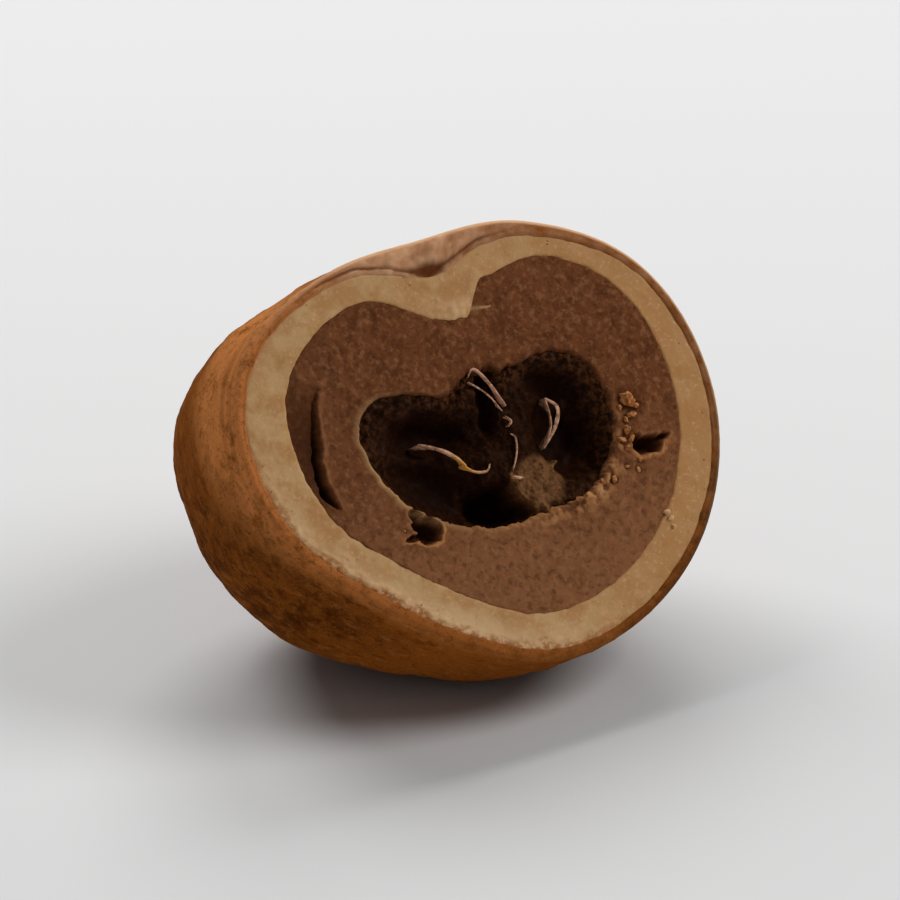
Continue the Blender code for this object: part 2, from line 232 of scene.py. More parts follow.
class SweetSizes(bpy.types.PropertyGroup):
    """Sizes of the cut sweet"""

    cut_point: FloatVectorProperty(
        name="Cut Point", description="The point of the cut that its radii are measured from",
        default=(0.00119, -0.00161, 0.00685), subtype="XYZ", unit="LENGTH", precision=5)
    cut_turn: FloatProperty(
        name="Cut Turn", description="How far the cut looks round to the side",
        default=math.radians(32.5), subtype="ANGLE")
    cut_rise: FloatProperty(
        name="Cut Rise", description="How far the cut looks up",
        default=math.radians(36.7), subtype="ANGLE")
    back_reach: FloatProperty(
        name="Back Reach", description="How far the food reaches back from where it is widest",
        default=0.0074, min=0.003, unit="LENGTH", precision=5)
    cut_radii: FloatVectorProperty(
        name="Cut Radii", description="Radii of the cream layer's outside, every 30 degrees",
        size=12, unit="LENGTH", precision=5,
        default=[r * MM for r in (7.01, 7.0, 6.22, 5.65, 6.45, 7.46, 6.81, 5.55, 5.29, 5.8, 6.16,
                                  6.63)])
    coat_wall: FloatProperty(
        name="Coat Wall", description="Thickness of the cocoa coat",
        default=0.00028, min=0.0001, unit="LENGTH", precision=5)
    cream_wall: FloatProperty(
        name="Cream Wall", description="Thickness of the cream layer",
        default=0.00103, min=0.0003, unit="LENGTH", precision=5)
    bean_radii: FloatVectorProperty(
        name="Bean Radii", description="Radii of the bean in the cut, every 30 degrees",
        size=12, unit="LENGTH", precision=5,
        default=[r * MM for r in (3.85, 3.75, 2.35, 2.2, 2.15, 4.05, 3.5, 2.65, 2.25, 2.15, 2.35,
                                  3.3)])
    coat_relief: FloatProperty(
        name="Coat Relief", description="Height of the cocoa powder's unevenness",
        default=0.00005, min=0, unit="LENGTH", precision=6)
    milk_relief: FloatProperty(
        name="Milk Relief", description="Height of the grain in the cut milk chocolate",
        default=0.00003, min=0, unit="LENGTH", precision=6)
    bean_relief: FloatProperty(
        name="Bean Relief", description="Height of the grain on the broken bean",
        default=0.00009, min=0, unit="LENGTH", precision=6)
    skin_thickness: FloatProperty(
        name="Skin Thickness", description="Thickness of the bean's papery skins",
        default=0.00003, min=0.00001, unit="LENGTH", precision=6)
    crumb_count: IntProperty(
        name="Loose Cocoa", description="How many grains of loose cocoa lie on the cut",
        default=36, min=1)


def tint(name, description, default):
    """A colour property."""
    return FloatVectorProperty(name=name, description=description, default=default, size=3,
                               subtype="COLOR", min=0, max=1)


class SweetColours(bpy.types.PropertyGroup):
    """Colours of the cut sweet"""

    coat: tint("Coat", "The cocoa coat", (0.385, 0.109, 0.013))
    # Dark mottles of the coat, also used as painted shade on its lower left and its right rim.
    coat_dark_and_shade: tint("Coat Mottles", "Darker mottles of the cocoa coat", (0.08, 0.018, 0.0015))
    # Pale cocoa dust, also used as painted light on the coat's upper left.
    coat_dust_and_light: tint("Coat Dust", "Pale dust on the cocoa coat", (0.88, 0.34, 0.095))
    # The pale cut edge of the coat, also used as a painted highlight on it.
    coat_lip_and_highlight: tint("Coat Lip", "The pale edge of the cut coat", (0.97, 0.62, 0.36))
    # The cream layer, also used as a painted highlight on the milk chocolate beside the bean.
    cream: tint("Cream", "The cream layer", (0.70, 0.42, 0.18))
    cream_deep: tint("Cream Shade", "The yellower parts of the cream layer", (0.56, 0.26, 0.082))
    # Pale cream, also used as painted light low on the left of the cream layer.
    cream_pale: tint("Cream Light", "The paler parts of the cream layer", (0.86, 0.56, 0.29))
    # The milk chocolate, also used as painted shade in the coat's groove.
    milk_and_groove_shade: tint("Milk Chocolate", "The milk chocolate", (0.26, 0.085, 0.029))
    # Dark specks of the milk chocolate, also used as its painted shade.
    milk_dark_and_shade: tint("Milk Chocolate Dark", "Dark specks of the milk chocolate",
                    (0.085, 0.024, 0.006))
    # Pale specks of the milk chocolate, also used as painted light lower down on it and as a
    # painted highlight on the step's edge.
    milk_light: tint("Milk Chocolate Light", "Pale specks of the milk chocolate",
                     (0.53, 0.235, 0.10))
    # The roasted bean, also used as near-black painted shade in the milk chocolate's crack.
    bean_and_crack_shade: tint("Bean", "The roasted bean", (0.018, 0.005, 0.0015))
    bean_brown: tint("Bean Brown", "The browner grain of the bean", (0.10, 0.033, 0.01))
    bean_wedge: tint("Bean Wedge", "The light granular part of the bean", (0.26, 0.115, 0.044))
    skin: tint("Papery Skin", "The bean's papery skins", (0.80, 0.42, 0.26))
    skin_golden: tint("Golden Skin", "The part of a skin that light shines through",
                      (0.95, 0.42, 0.06))
    # Golden crumbs, also used as a painted highlight on the milk chocolate along the bean's lower
    # edge.
    crumb_and_highlight: tint("Crumbs", "Golden crumbs beside the hole", (0.66, 0.30, 0.11))
    floor: tint("Floor", "The studio's floor", (0.80, 0.80, 0.80))


class StudioSettings(bpy.types.PropertyGroup):
    """The studio round the sweet"""

    camera_distance: FloatProperty(
        name="Camera Distance", description="From the camera to the middle of the sweet",
        default=0.225, min=0.05, unit="LENGTH")
    camera_rise: FloatProperty(
        name="Camera Rise", description="How far above the horizon the camera stands",
        default=math.radians(30), subtype="ANGLE")
    view_width: FloatProperty(
        name="View Width", description="Width of the picture at the sweet",
        default=0.0247, min=0.005, unit="LENGTH", precision=5)
    sky: FloatProperty(
        name="Room Light", description="Strength of the light from all sides",
        default=0.115, min=0)
    back_light: FloatProperty(
        name="Back Light", description="Power of the soft light behind the sweet",
        default=0.18, min=0, unit="POWER")
    right_light: FloatProperty(
        name="Right Light", description="Power of the soft light on the right",
        default=0.205, min=0, unit="POWER")
    left_light: FloatProperty(
        name="Left Light", description="Power of the soft light on the left and behind",
        default=0.205, min=0, unit="POWER")
    light_size: FloatProperty(
        name="Light Size", description="Width of each round light",
        default=0.12, min=0.01, unit="LENGTH")
    light_distance: FloatProperty(
        name="Light Distance", description="From each light to the sweet",
        default=0.22, min=0.05, unit="LENGTH")


def hill(angle, centre, width):
    """1 at an angle, falling smoothly to 0 on both sides."""
    away = (angle - centre + 180) % 360 - 180
    return np.exp(-((away / width) ** 2))


def hills(changes, angle):
    """The sum of several hills, each given as amount, angle and width."""
    return sum(amount * hill(angle, *where) for amount, *where in changes)


def between(before, start, end, after, share):
    """The smooth curve through four values, at a share of the way between the middle two."""
    bend = 2 * before - 5 * start + 4 * end - after
    twist = 3 * (start - end) + after - before
    return start + 0.5 * share * (end - before + share * (bend + share * twist))


def smooth_radius(radii, angle):
    """Radii in millimetres on the smooth closed curve through evenly spaced ones."""
    position = angle % 360 * len(radii) / 360
    i = position.astype(int)
    values = mm(np.array(radii))
    near = [values[(i + k) % len(radii)] for k in (-1, 0, 1, 2)]
    return between(*near, position - i)


def fractal(points, size, octaves=4):
    """Uneven heights of about -1 to 1 at points, with lumps of a size in millimetres."""
    return np.array([noise.fractal(p, 0.9, 2.0, octaves) for p in (points / size).tolist()])


def cells(points, size):
    """Distance to the nearest of scattered spots, and each spot's own random share."""
    near = [noise.voronoi(p) for p in (points / size).tolist()]
    away = np.array([distances[0] for distances, _ in near])
    chance = np.array([noise.cell(spots[0] * 7.3) for _, spots in near])
    return away * size, chance


def smoothstep(low, high, value):
    """0 below low and 1 above high, with a smooth rise between them."""
    share = np.clip((value - low) / (high - low), 0, 1)
    return share * share * (3 - 2 * share)


def bell(value, middle, width):
    """1 where a value is at the middle, falling smoothly to 0 on both sides."""
    return np.exp(-(((value - middle) / width) ** 2))


def cut_axes():
    """The u, v and outward directions of the cut."""
    sizes = bpy.context.scene.sweet_sizes
    turn, rise = sizes.cut_turn, sizes.cut_rise
    u = Vector((math.cos(turn), math.sin(turn), 0))
    level = Vector((math.sin(turn), -math.cos(turn), 0))
    out = level * math.cos(rise) + Vector((0, 0, math.sin(rise)))
    return u, out.cross(u), out


def place(u, v, depth):
    """Points given in the cut's frame, in the part's frame, in millimetres."""
    along_u, along_v, out = (np.array(axis) for axis in cut_axes())
    middle = mm(np.array(bpy.context.scene.sweet_sizes.cut_point))
    spread = [np.asarray(value, float)[..., None] for value in (u, v, depth)]
    return middle + spread[0] * along_u + spread[1] * along_v - spread[2] * out


def layer_radius(layer, angle, depth):
    """The radius of a layer's outside at a depth, before the food narrows to the back."""
    sizes = bpy.context.scene.sweet_sizes
    radius = smooth_radius(sizes.cut_radii, angle)
    if layer == "cocoa_coat":
        radius = radius + mm(sizes.coat_wall) + hills(COAT_CHANGES, angle)
    if layer == "milk_filling":
        near = np.exp(-((depth / FOLD_REACH) ** 2))
        radius = radius - mm(sizes.cream_wall) - hills(CREAM_CHANGES, angle)
        radius = radius + hills(FOLD_CORNER, angle) * near
    fold, centre, width = FOLDS[layer]
    radius = radius - fold * hill(angle, centre, width) * np.exp(-((depth / FOLD_REACH) ** 2))
    swell, centre, width, grown = SIDE_SWELL
    return radius + swell * hill(angle, centre, width) * (1 - np.exp(-((depth / grown) ** 2)))


def narrowing(share):
    """How wide the food is, as a part of its widest, at a share of its reach."""
    return (1 - np.minimum(1, np.abs(share)) ** FULLNESS) ** (1 / FULLNESS)


def layer_inset(layer):
    """How far inside the food's own skin a layer starts."""
    sizes = bpy.context.scene.sweet_sizes
    walls = {"cocoa_coat": 0, "cream_layer": sizes.coat_wall,
             "milk_filling": sizes.coat_wall + sizes.cream_wall}
    return mm(walls[layer])


def layer_skin(layer, angle, share, edge, grow=0.0):
    """Points of a layer's skin from its edge at a depth to its back pole, and their outward
    directions and depths."""
    reach = mm(bpy.context.scene.sweet_sizes.back_reach) - layer_inset(layer) + grow
    first = math.acos((WIDEST_DEPTH - edge) / reach)
    polar = first + (math.pi - first) * share
    depth = WIDEST_DEPTH - reach * np.cos(polar)
    radius = layer_radius(layer, angle, depth) + grow
    radius = radius * narrowing(np.cos(polar)) / narrowing(WIDEST_DEPTH / reach)
    turn = np.radians(angle)
    u = radius * np.cos(turn) + LEAN[0] * depth
    v = radius * np.sin(turn) + LEAN[1] * depth
    points = place(u, v, depth)
    middle = place(LEAN[0] * depth, LEAN[1] * depth, np.full(len(depth), WIDEST_DEPTH))
    outward = points - middle
    outward /= np.linalg.norm(outward, axis=1)[:, None]
    lumps = BROAD_LUMPS[1] * plain_noise(outward, BROAD_LUMPS[0])
    if layer == "cocoa_coat":
        start = mm(np.array(bpy.context.scene.sweet_sizes.cut_point))
        lumps += SMALL_LUMPS[1] * plain_noise(points - start, SMALL_LUMPS[0])
    points += outward * (lumps * np.minimum(1, depth / LUMPS_GROWN))[:, None]
    points[:, 2] = np.maximum(points[:, 2], layer_inset(layer) - grow)
    return points, outward, depth


def plain_noise(points, size):
    """One octave of noise at points."""
    return np.array([noise.noise(p) for p in (points / size).tolist()])


def flat_points(u, v):
    """Points of the cut as noise places, without depth."""
    return np.stack([u, v, np.zeros(len(u))], axis=1)


def in_ellipse(u, v, centre_u, centre_v, half_width, half_height, turn):
    """How far points are from an ellipse's middle, where 1 is its edge."""
    cosine, sine = math.cos(math.radians(turn)), math.sin(math.radians(turn))
    across, up = u - centre_u, v - centre_v
    return np.hypot((across * cosine + up * sine) / half_width,
                    (up * cosine - across * sine) / half_height)


# Building with the modelling tools


def deselect_all():
    """Nothing is selected, and no object is being edited."""
    if bpy.context.object and bpy.context.object.mode != "OBJECT":
        bpy.ops.object.mode_set(mode="OBJECT")
    bpy.ops.object.select_all(action="DESELECT")


def add_ball(segments, rings, radius):
    """Adds a ball at the cut, with its poles along the cut's outward direction."""
    turned = Matrix(cut_axes()).transposed().to_euler()
    bpy.ops.mesh.primitive_uv_sphere_add(
        segments=segments, ring_count=rings, radius=radius,
        location=bpy.context.scene.sweet_sizes.cut_point, rotation=turned)


def add_cup(name, segments, outside, across, inside, fineness):
    """A cup of two half balls, one in the other, joined across the cut and made finer."""
    sizes = bpy.context.scene.sweet_sizes
    deselect_all()
    add_ball(segments, 2 * outside, sizes.back_reach)
    piece = bpy.context.object
    piece.name = piece.data.name = name
    bpy.ops.object.transform_apply(location=True, rotation=True, scale=True)
    bpy.ops.object.mode_set(mode="EDIT")
    cut = {"plane_co": sizes.cut_point, "plane_no": cut_axes()[2], "clear_outer": True,
           "use_fill": False, "threshold": 1e-7}
    bpy.ops.mesh.select_all(action="SELECT")
    bpy.ops.mesh.bisect(**cut)
    bpy.ops.mesh.select_all(action="DESELECT")
    add_ball(segments, 2 * inside, sizes.back_reach / 2)
    bpy.ops.mesh.flip_normals()
    bpy.ops.mesh.bisect(**cut)
    select_rims(piece)
    bpy.ops.mesh.bridge_edge_loops(number_cuts=across - 1, interpolation="LINEAR")
    bpy.ops.mesh.select_all(action="SELECT")
    bpy.ops.mesh.subdivide(number_cuts=fineness - 1)
    bpy.ops.object.mode_set(mode="OBJECT")
    return piece


def select_rims(piece):
    """Selects the open edges of the edited piece."""
    mesh = bmesh.from_edit_mesh(piece.data)
    for part in (mesh.faces, mesh.edges, mesh.verts):
        for item in part:
            item.select = False
    mesh.select_mode = {"EDGE"}
    for edge in mesh.edges:
        if edge.is_boundary:
            edge.select_set(True)
    bmesh.update_edit_mesh(piece.data)


def cup_places(piece):
    """Each point's angle in the cut, its share of the way along its part, and its part: 0 on the
    outside, 1 across the cut and 2 inside."""
    sizes = bpy.context.scene.sweet_sizes
    points = np.zeros(3 * len(piece.data.vertices))
    piece.data.vertices.foreach_get("co", points)
    local = (points.reshape(-1, 3) - np.array(sizes.cut_point)) / sizes.back_reach
    local = local @ np.array(cut_axes()).T
    wide, far = np.hypot(local[:, 0], local[:, 1]), np.linalg.norm(local, axis=1)
    angle = np.degrees(np.arctan2(local[:, 1], local[:, 0])) % 360
    down = np.arcsin(np.clip(-local[:, 2] / far, 0, 1)) / (math.pi / 2)
    part = np.where(local[:, 2] > -1e-4, 1, np.where(far > 0.75, 0, 2))
    share = np.where(part == 1, np.clip((1 - wide) / 0.5, 0, 1), down)
    return angle, share, part


def press(piece, *shapes):
    """Presses a cup into shape with one function for each of its parts, and keeps the shades that
    they give as attributes."""
    angle, share, part = cup_places(piece)
    points, shades = np.zeros((len(angle), 3)), {}
    for number, shape in enumerate(shapes):
        chosen = part == number
        points[chosen], found = shape(angle[chosen], share[chosen])
        for name, values in found.items():
            shades.setdefault(name, np.zeros(len(angle)))[chosen] = values
    piece.data.vertices.foreach_set("co", (points * MM).ravel())
    for name, values in shades.items():
        attribute = piece.data.attributes.new(name, "FLOAT", "POINT")
        attribute.data.foreach_set("value", values.astype(np.float32))
    piece.data.update()
    bpy.ops.object.shade_smooth()


def settle(piece, node=None):
    """Hands a piece to the part: it rides on it, and may stand for a solid."""
    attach(piece, "root")
    if node:
        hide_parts(node)


# Finishes


class Finish:
    """The nodes of one material, whose patterns are measured in millimetres on the piece."""

    def __init__(self, name, roughness, **uniform):
        self.material = bpy.data.materials.new(name)
        self.material.use_nodes = True
        self.nodes = self.material.node_tree.nodes
        self.links = self.material.node_tree.links
        self.shader = self.nodes["Principled BSDF"]
        self.shader.inputs["Roughness"].default_value = roughness
        for socket, value in uniform.items():
            self.shader.inputs[socket.replace("_", " ")].default_value = value
        coordinates = self.nodes.new("ShaderNodeTexCoord")
        mapping = self.nodes.new("ShaderNodeMapping")
        mapping.inputs["Scale"].default_value = (1 / MM,) * 3
        self.links.new(coordinates.outputs["Object"], mapping.inputs["Vector"])
        self.place = mapping.outputs["Vector"]

    def along_cut(self, scale):
        """The place in the cut's frame, scaled for a pattern with a direction."""
        turned = self.nodes.new("ShaderNodeMapping")
        turned.inputs["Rotation"].default_value = Matrix(cut_axes()).to_euler()
        self.links.new(self.place, turned.inputs["Vector"])
        scaled = self.nodes.new("ShaderNodeMapping")
        scaled.inputs["Scale"].default_value = scale
        self.links.new(turned.outputs["Vector"], scaled.inputs["Vector"])
        return scaled.outputs["Vector"]

    def noise(self, size, detail=3.0, rough=0.55, where=None, warp=0.0):
        """A noise with lumps of a size in millimetres."""
        node = self.nodes.new("ShaderNodeTexNoise")
        node.inputs["Scale"].default_value = 1 / size
        node.inputs["Detail"].default_value = detail
        node.inputs["Roughness"].default_value = rough
        node.inputs["Distortion"].default_value = warp
        self.links.new(where or self.place, node.inputs["Vector"])
        return node.outputs["Fac"]

    def shade(self, name):
        """A shade kept with the piece's points."""
        node = self.nodes.new("ShaderNodeAttribute")
        node.attribute_name = name
        return node.outputs["Fac"]

    def range(self, value, low, high, to_low=0.0, to_high=1.0):
        """A value's range from low to high, spread over another."""
        node = self.nodes.new("ShaderNodeMapRange")
        node.interpolation_type = "SMOOTHSTEP"
        for socket, number in zip(node.inputs[1:5], (low, high, to_low, to_high)):
            socket.default_value = number
        self.links.new(value, node.inputs["Value"])
        return node.outputs["Result"]

    def mix(self, share, first, second):
        """A colour between two others."""
        node = self.nodes.new("ShaderNodeMix")
        node.data_type = "RGBA"
        self.feed(share, node.inputs["Factor"])
        self.feed(first, node.inputs[6])
        self.feed(second, node.inputs[7])
        return node.outputs[2]

    def part(self, value, most):
        """A value times another, for a weaker pattern."""
        node = self.nodes.new("ShaderNodeMath")
        node.operation = "MULTIPLY"
        for socket, factor in zip(node.inputs, (value, most)):
            self.feed(factor, socket)
        return node.outputs["Value"]

    def feed(self, value, socket):
        """Links a value to a socket, or sets the socket to it."""
        if isinstance(value, bpy.types.NodeSocket):
            self.links.new(value, socket)
        elif isinstance(value, (int, float)):
            socket.default_value = value
        else:
            socket.default_value = (*value, 1)

    def colour(self, value):
        """Links the shader's colour."""
        self.feed(value, self.shader.inputs["Base Color"])

    def roughness(self, value):
        """Links the shader's roughness."""
        self.feed(value, self.shader.inputs["Roughness"])

    def bump(self, height, depth, strength=1.0):
        """A fine relief, with its depth in millimetres."""
        node = self.nodes.new("ShaderNodeBump")
        node.inputs["Strength"].default_value = strength
        node.inputs["Distance"].default_value = depth * MM
        self.links.new(height, node.inputs["Height"])
        self.links.new(node.outputs["Normal"], self.shader.inputs["Normal"])

    def put_on(self, piece):
        """Gives the finish to a piece."""
        piece.data.materials.clear()
        piece.data.materials.append(self.material)


def coat_finish():
    """Dusty cocoa with darker mottles, paler dust and streaks along the cut's edge, with painted
    light on the upper left, painted shade on the lower left and the right rim, a painted highlight
    on the cut edge and painted shade in the fold's groove.
    """
    colours = bpy.context.scene.sweet_colours
    finish = Finish("dusty_cocoa", 0.95, Specular_IOR_Level=0.02, Diffuse_Roughness=1.0)
    streaked = finish.along_cut((0.5, 0.5, 1.0))
    dust_and_light = finish.range(finish.noise(0.5, 6, 0.7), 0.28, 0.52)
    # Pale dust, which on the upper left is also painted light.
    base = finish.mix(finish.part(dust_and_light, finish.shade("dust_and_light")), colours.coat, colours.coat_dust_and_light)
    mottles = finish.range(finish.noise(0.6, 6, 0.68, warp=0.3), 0.38, 0.62, 0.3, 1.0)
    # Dark mottles, and painted shade on the lower left and the right rim.
    base = finish.mix(finish.part(mottles, finish.shade("darkened")), base, colours.coat_dark_and_shade)
    dashes = finish.range(finish.noise(0.24, 5, 0.64, streaked), 0.5, 0.64)
    base = finish.mix(finish.part(dashes, finish.shade("dashed")), base, colours.coat_dark_and_shade)
    pale = finish.range(finish.noise(0.2, 5, 0.64, streaked), 0.36, 0.46, 1.0, 0.0)
    base = finish.mix(finish.part(pale, 0.16), base, colours.coat_dust_and_light)
    grains = finish.range(finish.noise(0.07, 2, 0.5), 0.56, 0.7)
    base = finish.mix(finish.part(grains, 0.14), base, colours.coat_dust_and_light)
    pits = finish.range(finish.noise(0.09, 3, 0.6), 0.55, 0.68)
    base = finish.mix(finish.part(pits, 0.4), base, colours.coat_dark_and_shade)
    # The pale cut edge and its painted highlight.
    base = finish.mix(finish.shade("lip_pale_and_highlit"), base, colours.coat_lip_and_highlight)
    # Painted shade in the fold's groove, the dark seam beside the cream, and the dark streaks on
    # the upper left.
    base = finish.mix(finish.shade("groove"), base, colours.milk_and_groove_shade)
    # Painted shade along the coat's lower right rim.
    base = finish.mix(finish.shade("painted_rim_shade"), base, colours.coat_dark_and_shade)
    finish.colour(base)
    finish.bump(finish.noise(0.06, 5, 0.65), 0.03, 0.7)
    return finish


def cream_finish():
    """Waxy cream-coloured chocolate, yellower on the right, and paler low on the left with painted
    light.
    """
    colours = bpy.context.scene.sweet_colours
    finish = Finish("waxy_cream", 0.5, Subsurface_Weight=0.1, Subsurface_Scale=0.0004,
                    Specular_IOR_Level=0.2)
    finish.shader.inputs["Subsurface Radius"].default_value = (1.0, 0.6, 0.3)
    clouds = finish.range(finish.noise(0.9, 4, 0.6), 0.4, 0.62)
    base = finish.mix(finish.part(clouds, 0.8), colours.cream, colours.cream_deep)
    # Painted light low on the left, and pale lumps at the hook and on the crumbly edge.
    base = finish.mix(finish.shade("pale"), base, colours.cream_pale)
    base = finish.mix(finish.shade("deep"), base, colours.cream_deep)
    fine = finish.range(finish.noise(0.12, 4, 0.6), 0.54, 0.7)
    base = finish.mix(finish.part(fine, 0.4), base, colours.cream_pale)
    specks = finish.range(finish.noise(0.17, 3, 0.6), 0.6, 0.74)
    base = finish.mix(finish.part(specks, 0.45), base, colours.milk_light)
    stain = finish.range(finish.noise(0.22, 4, 0.65), 0.38, 0.56)
    base = finish.mix(finish.part(stain, finish.shade("stain")), base, colours.coat)
    finish.colour(base)
    finish.roughness(finish.range(finish.noise(0.3, 3, 0.6), 0.3, 0.7, 0.45, 0.62))
    finish.bump(finish.noise(0.1, 4, 0.6), 0.02, 0.5)
    return finish


def milk_finish():
    """Cut milk chocolate with fine dark and pale specks, painted shade in its pores, holes, pits,
    step and crack and beside the cream and the bean, and painted light lower down and on some
    edges.
    """
    colours = bpy.context.scene.sweet_colours
    finish = Finish("milk_chocolate", 0.75, Specular_IOR_Level=0.06, Diffuse_Roughness=0.6)
    clouds = finish.range(finish.noise(0.6, 6, 0.68), 0.44, 0.62)
    base = finish.mix(finish.part(clouds, 0.4), colours.milk_and_groove_shade, colours.milk_dark_and_shade)
    # Painted light, stronger lower down and to the left.
    base = finish.mix(finish.shade("painted_light"), base, colours.milk_light)
    pale = finish.range(finish.noise(0.19, 5, 0.68), 0.47, 0.66)
    base = finish.mix(finish.part(pale, 0.5), base, colours.milk_light)
    dark_and_painted_shade = finish.range(finish.noise(0.22, 5, 0.68), 0.48, 0.66)
    base = finish.mix(finish.part(dark_and_painted_shade, 0.5), base, colours.milk_dark_and_shade)
    # Painted shade in the pores, holes, pits, step and crack, beside the cream, on the wall round
    # the bean and between the crumbly lumps, and darker beside the bean's upper edge.
    base = finish.mix(finish.shade("dark_and_painted_shade"), base, colours.milk_dark_and_shade)
    base = finish.mix(finish.shade("light"), base, colours.milk_light)
    # Golden crumbs and rims, and a painted highlight along the bean's lower edge.
    base = finish.mix(finish.shade("golden"), base, colours.crumb_and_highlight)
    # Cream smeared on the milk, a painted highlight along the bean's lower left edge, and painted
    # light on the tops of the crumbly lumps.
    base = finish.mix(finish.shade("cream"), base, colours.cream)
    # Near-black painted shade on the step's floor and in its crack.
    base = finish.mix(finish.shade("crack_shade"), base, colours.bean_and_crack_shade)
    finish.colour(base)
    finish.bump(finish.noise(0.07, 4, 0.6), 0.02, 0.6)
    return finish


def bean_finish():
    """Dark roasted bean, browner and granular on its broken rim."""
    colours = bpy.context.scene.sweet_colours
    finish = Finish("roasted_bean", 0.6, Specular_IOR_Level=0.04)
    grains = finish.range(finish.noise(0.17, 5, 0.66), 0.44, 0.6)
    brown = finish.part(grains, finish.shade("brown"))
    base = finish.mix(brown, colours.bean_and_crack_shade, colours.bean_brown)
    wedge = finish.range(finish.noise(0.14, 4, 0.65), 0.34, 0.56, 0.45, 1.0)
    base = finish.mix(finish.part(wedge, finish.shade("wedge")), base, colours.bean_wedge)
    finish.colour(base)
    finish.roughness(finish.range(finish.noise(0.25, 3, 0.6), 0.35, 0.7, 0.4, 0.8))
    finish.bump(finish.noise(0.08, 4, 0.65), 0.03, 0.7)
    return finish


# The layers of the sweet


def within(shades):
    """Shades kept between 0 and 1."""
    return {name: np.clip(shade, 0, 1) for name, shade in shades.items()}


def rounded(away, reach, drop):
    """How far an edge is rounded down, at a distance from it."""
    return drop * np.clip(1 - away / reach, 0, 1) ** 2


def ring_across(layer, inside, angle, share, wave, size, shift=0):
    """Where a layer's cut has its points, from its outer edge to its uneven inner one: their u
    and v, how far in they are, and how wide the layer is there."""
    turn = np.radians(angle)
    circle = flat_points(np.cos(turn), np.sin(turn)) * 6 + shift
    outer = layer_radius(layer, angle, 0)
    wide = outer - (layer_radius(inside, angle, 0) - OVERLAP + wave * fractal(circle, size))
    along = share * wide
    return (outer - along) * np.cos(turn), (outer - along) * np.sin(turn), along, wide


def coat_outside(angle, share):
    """The coat's powdery outside."""
    relief = mm(bpy.context.scene.sweet_sizes.coat_relief)
    points, outward, depth = layer_skin("cocoa_coat", angle, share, COAT_EDGE)
    grown = smoothstep(COAT_EDGE, 1.0, depth)
    streaked = points @ np.array(cut_axes()).T * (0.3, 0.3, 1.0)
    height = fractal(points, 0.9) * 0.6 + fractal(streaked, 0.3) * 0.6
    height *= 0.35 + 0.65 * grown
    height += 1.3 * hill(angle, *BUMPY_SIDE) * plain_noise(points, 0.75)
    pits, chance = cells(points, 0.55)
    height -= 1.1 * (chance > 0.35) * bell(pits, 0, 0.13) * grown
    wavy = depth + 0.05 * plain_noise(points, 0.8)
    for line, width in COAT_STREAKS:
        height -= 0.7 * hill(angle, *DUSTY_LIT_SIDE) * bell(wavy, line, width)
    points += outward * (relief * height)[:, None]
    points[:, 2] = np.maximum(points[:, 2], 0)
    # The outside is pale next to the cut, with a painted highlight.
    lip_pale_and_highlit = np.exp(-((depth - COAT_EDGE) / 0.12)) * pale_and_highlit_lip(angle)
    return points, {"lip_pale_and_highlit": np.clip(lip_pale_and_highlit, 0, 1), **coat_shades(angle, wavy)}


def coat_shades(angle, depth):
    """Where the coat's outside is dusty, with painted light on the upper left, where it is dark,
    with mottles and painted shade, and where it is dashed and streaked.
    """
    # More dust and fewer dark mottles and dashes on the upper left are dust and painted light; the
    # darker parts on the lower left and the right rim are mottles and painted shade.
    upper_left = hill(angle, *DUSTY_LIT_SIDE)
    dust_and_light = sum(amount * hill(angle, *where) * (1 - smoothstep(near, far, depth))
               for amount, *where, near, far in COAT_DUST)
    darkened = sum(amount * hill(angle, *where) * smoothstep(near, far, depth)
                 for amount, *where, near, far in COAT_MOTTLED_AND_SHADED)
    darkened += 0.22 + 0.25 * smoothstep(3.5, 6.0, depth) - 0.25 * hill(angle, 240, 22)
    darkened -= 0.4 * upper_left * (1 - smoothstep(1.2, 3.0, depth))
    dashed = 0.3 + 0.3 * hill(angle, 200, 35) - 0.25 * upper_left
    groove = sum(0.35 * upper_left * bell(depth, line, width) for line, width in COAT_STREAKS)
    # Painted shade on the outside along the lower right rim.
    painted_rim_shade = 0.8 * hill(angle, *SHADED_RIM_SIDE) * smoothstep(0.1, 0.35, depth)
    return within({"dust_and_light": dust_and_light, "darkened": darkened, "dashed": dashed, "groove": groove,
                   "painted_rim_shade": painted_rim_shade})


def pale_and_highlit_lip(angle):
    """Where the cut edge of the coat is pale and has a painted highlight."""
    return np.clip(hills(LIP_PALE_AND_HIGHLIT, angle), 0, 1)


def coat_across(angle, share):
    """The cut edge of the coat, with its ridge and groove at the fold."""
    u, v, along, wide = ring_across("cocoa_coat", "cream_layer", angle, share, 0.05, 0.6)
    to_cream = wide - along
    spots = flat_points(u, v)
    lumps = fractal(spots, 0.35)
    ridge = hill(angle, *RIDGE)
    depth = COAT_EDGE * np.clip(1 - along / LIP_ROUND, 0, 1) ** 2 - LIP_RISE
    depth -= 0.06 * ridge * bell(along, 0.25, 0.2)
    depth -= 0.09 * ridge * lumps * smoothstep(0, 0.1, along)
    depth -= 0.012 * fractal(spots + 3, 0.2)
    creases = hill(angle, 84, 7) * np.sin(angle * 2.4 + 3 * lumps)
    depth += 0.03 * creases * smoothstep(0.05, 0.2, along)
    groove_width = 0.055 + 0.17 * hill(angle, 91, 5)
    # The groove at the fold: a dip, with painted shade in it.
    groove = hills(GROOVE, angle) * bell(to_cream, 0.2 + 0.03 * lumps, groove_width)
    depth += 0.16 * groove + 0.04 * smoothstep(0.06, 0, to_cream)
    return place(u, v, depth), lip_shades(angle, along, to_cream, groove, lumps)


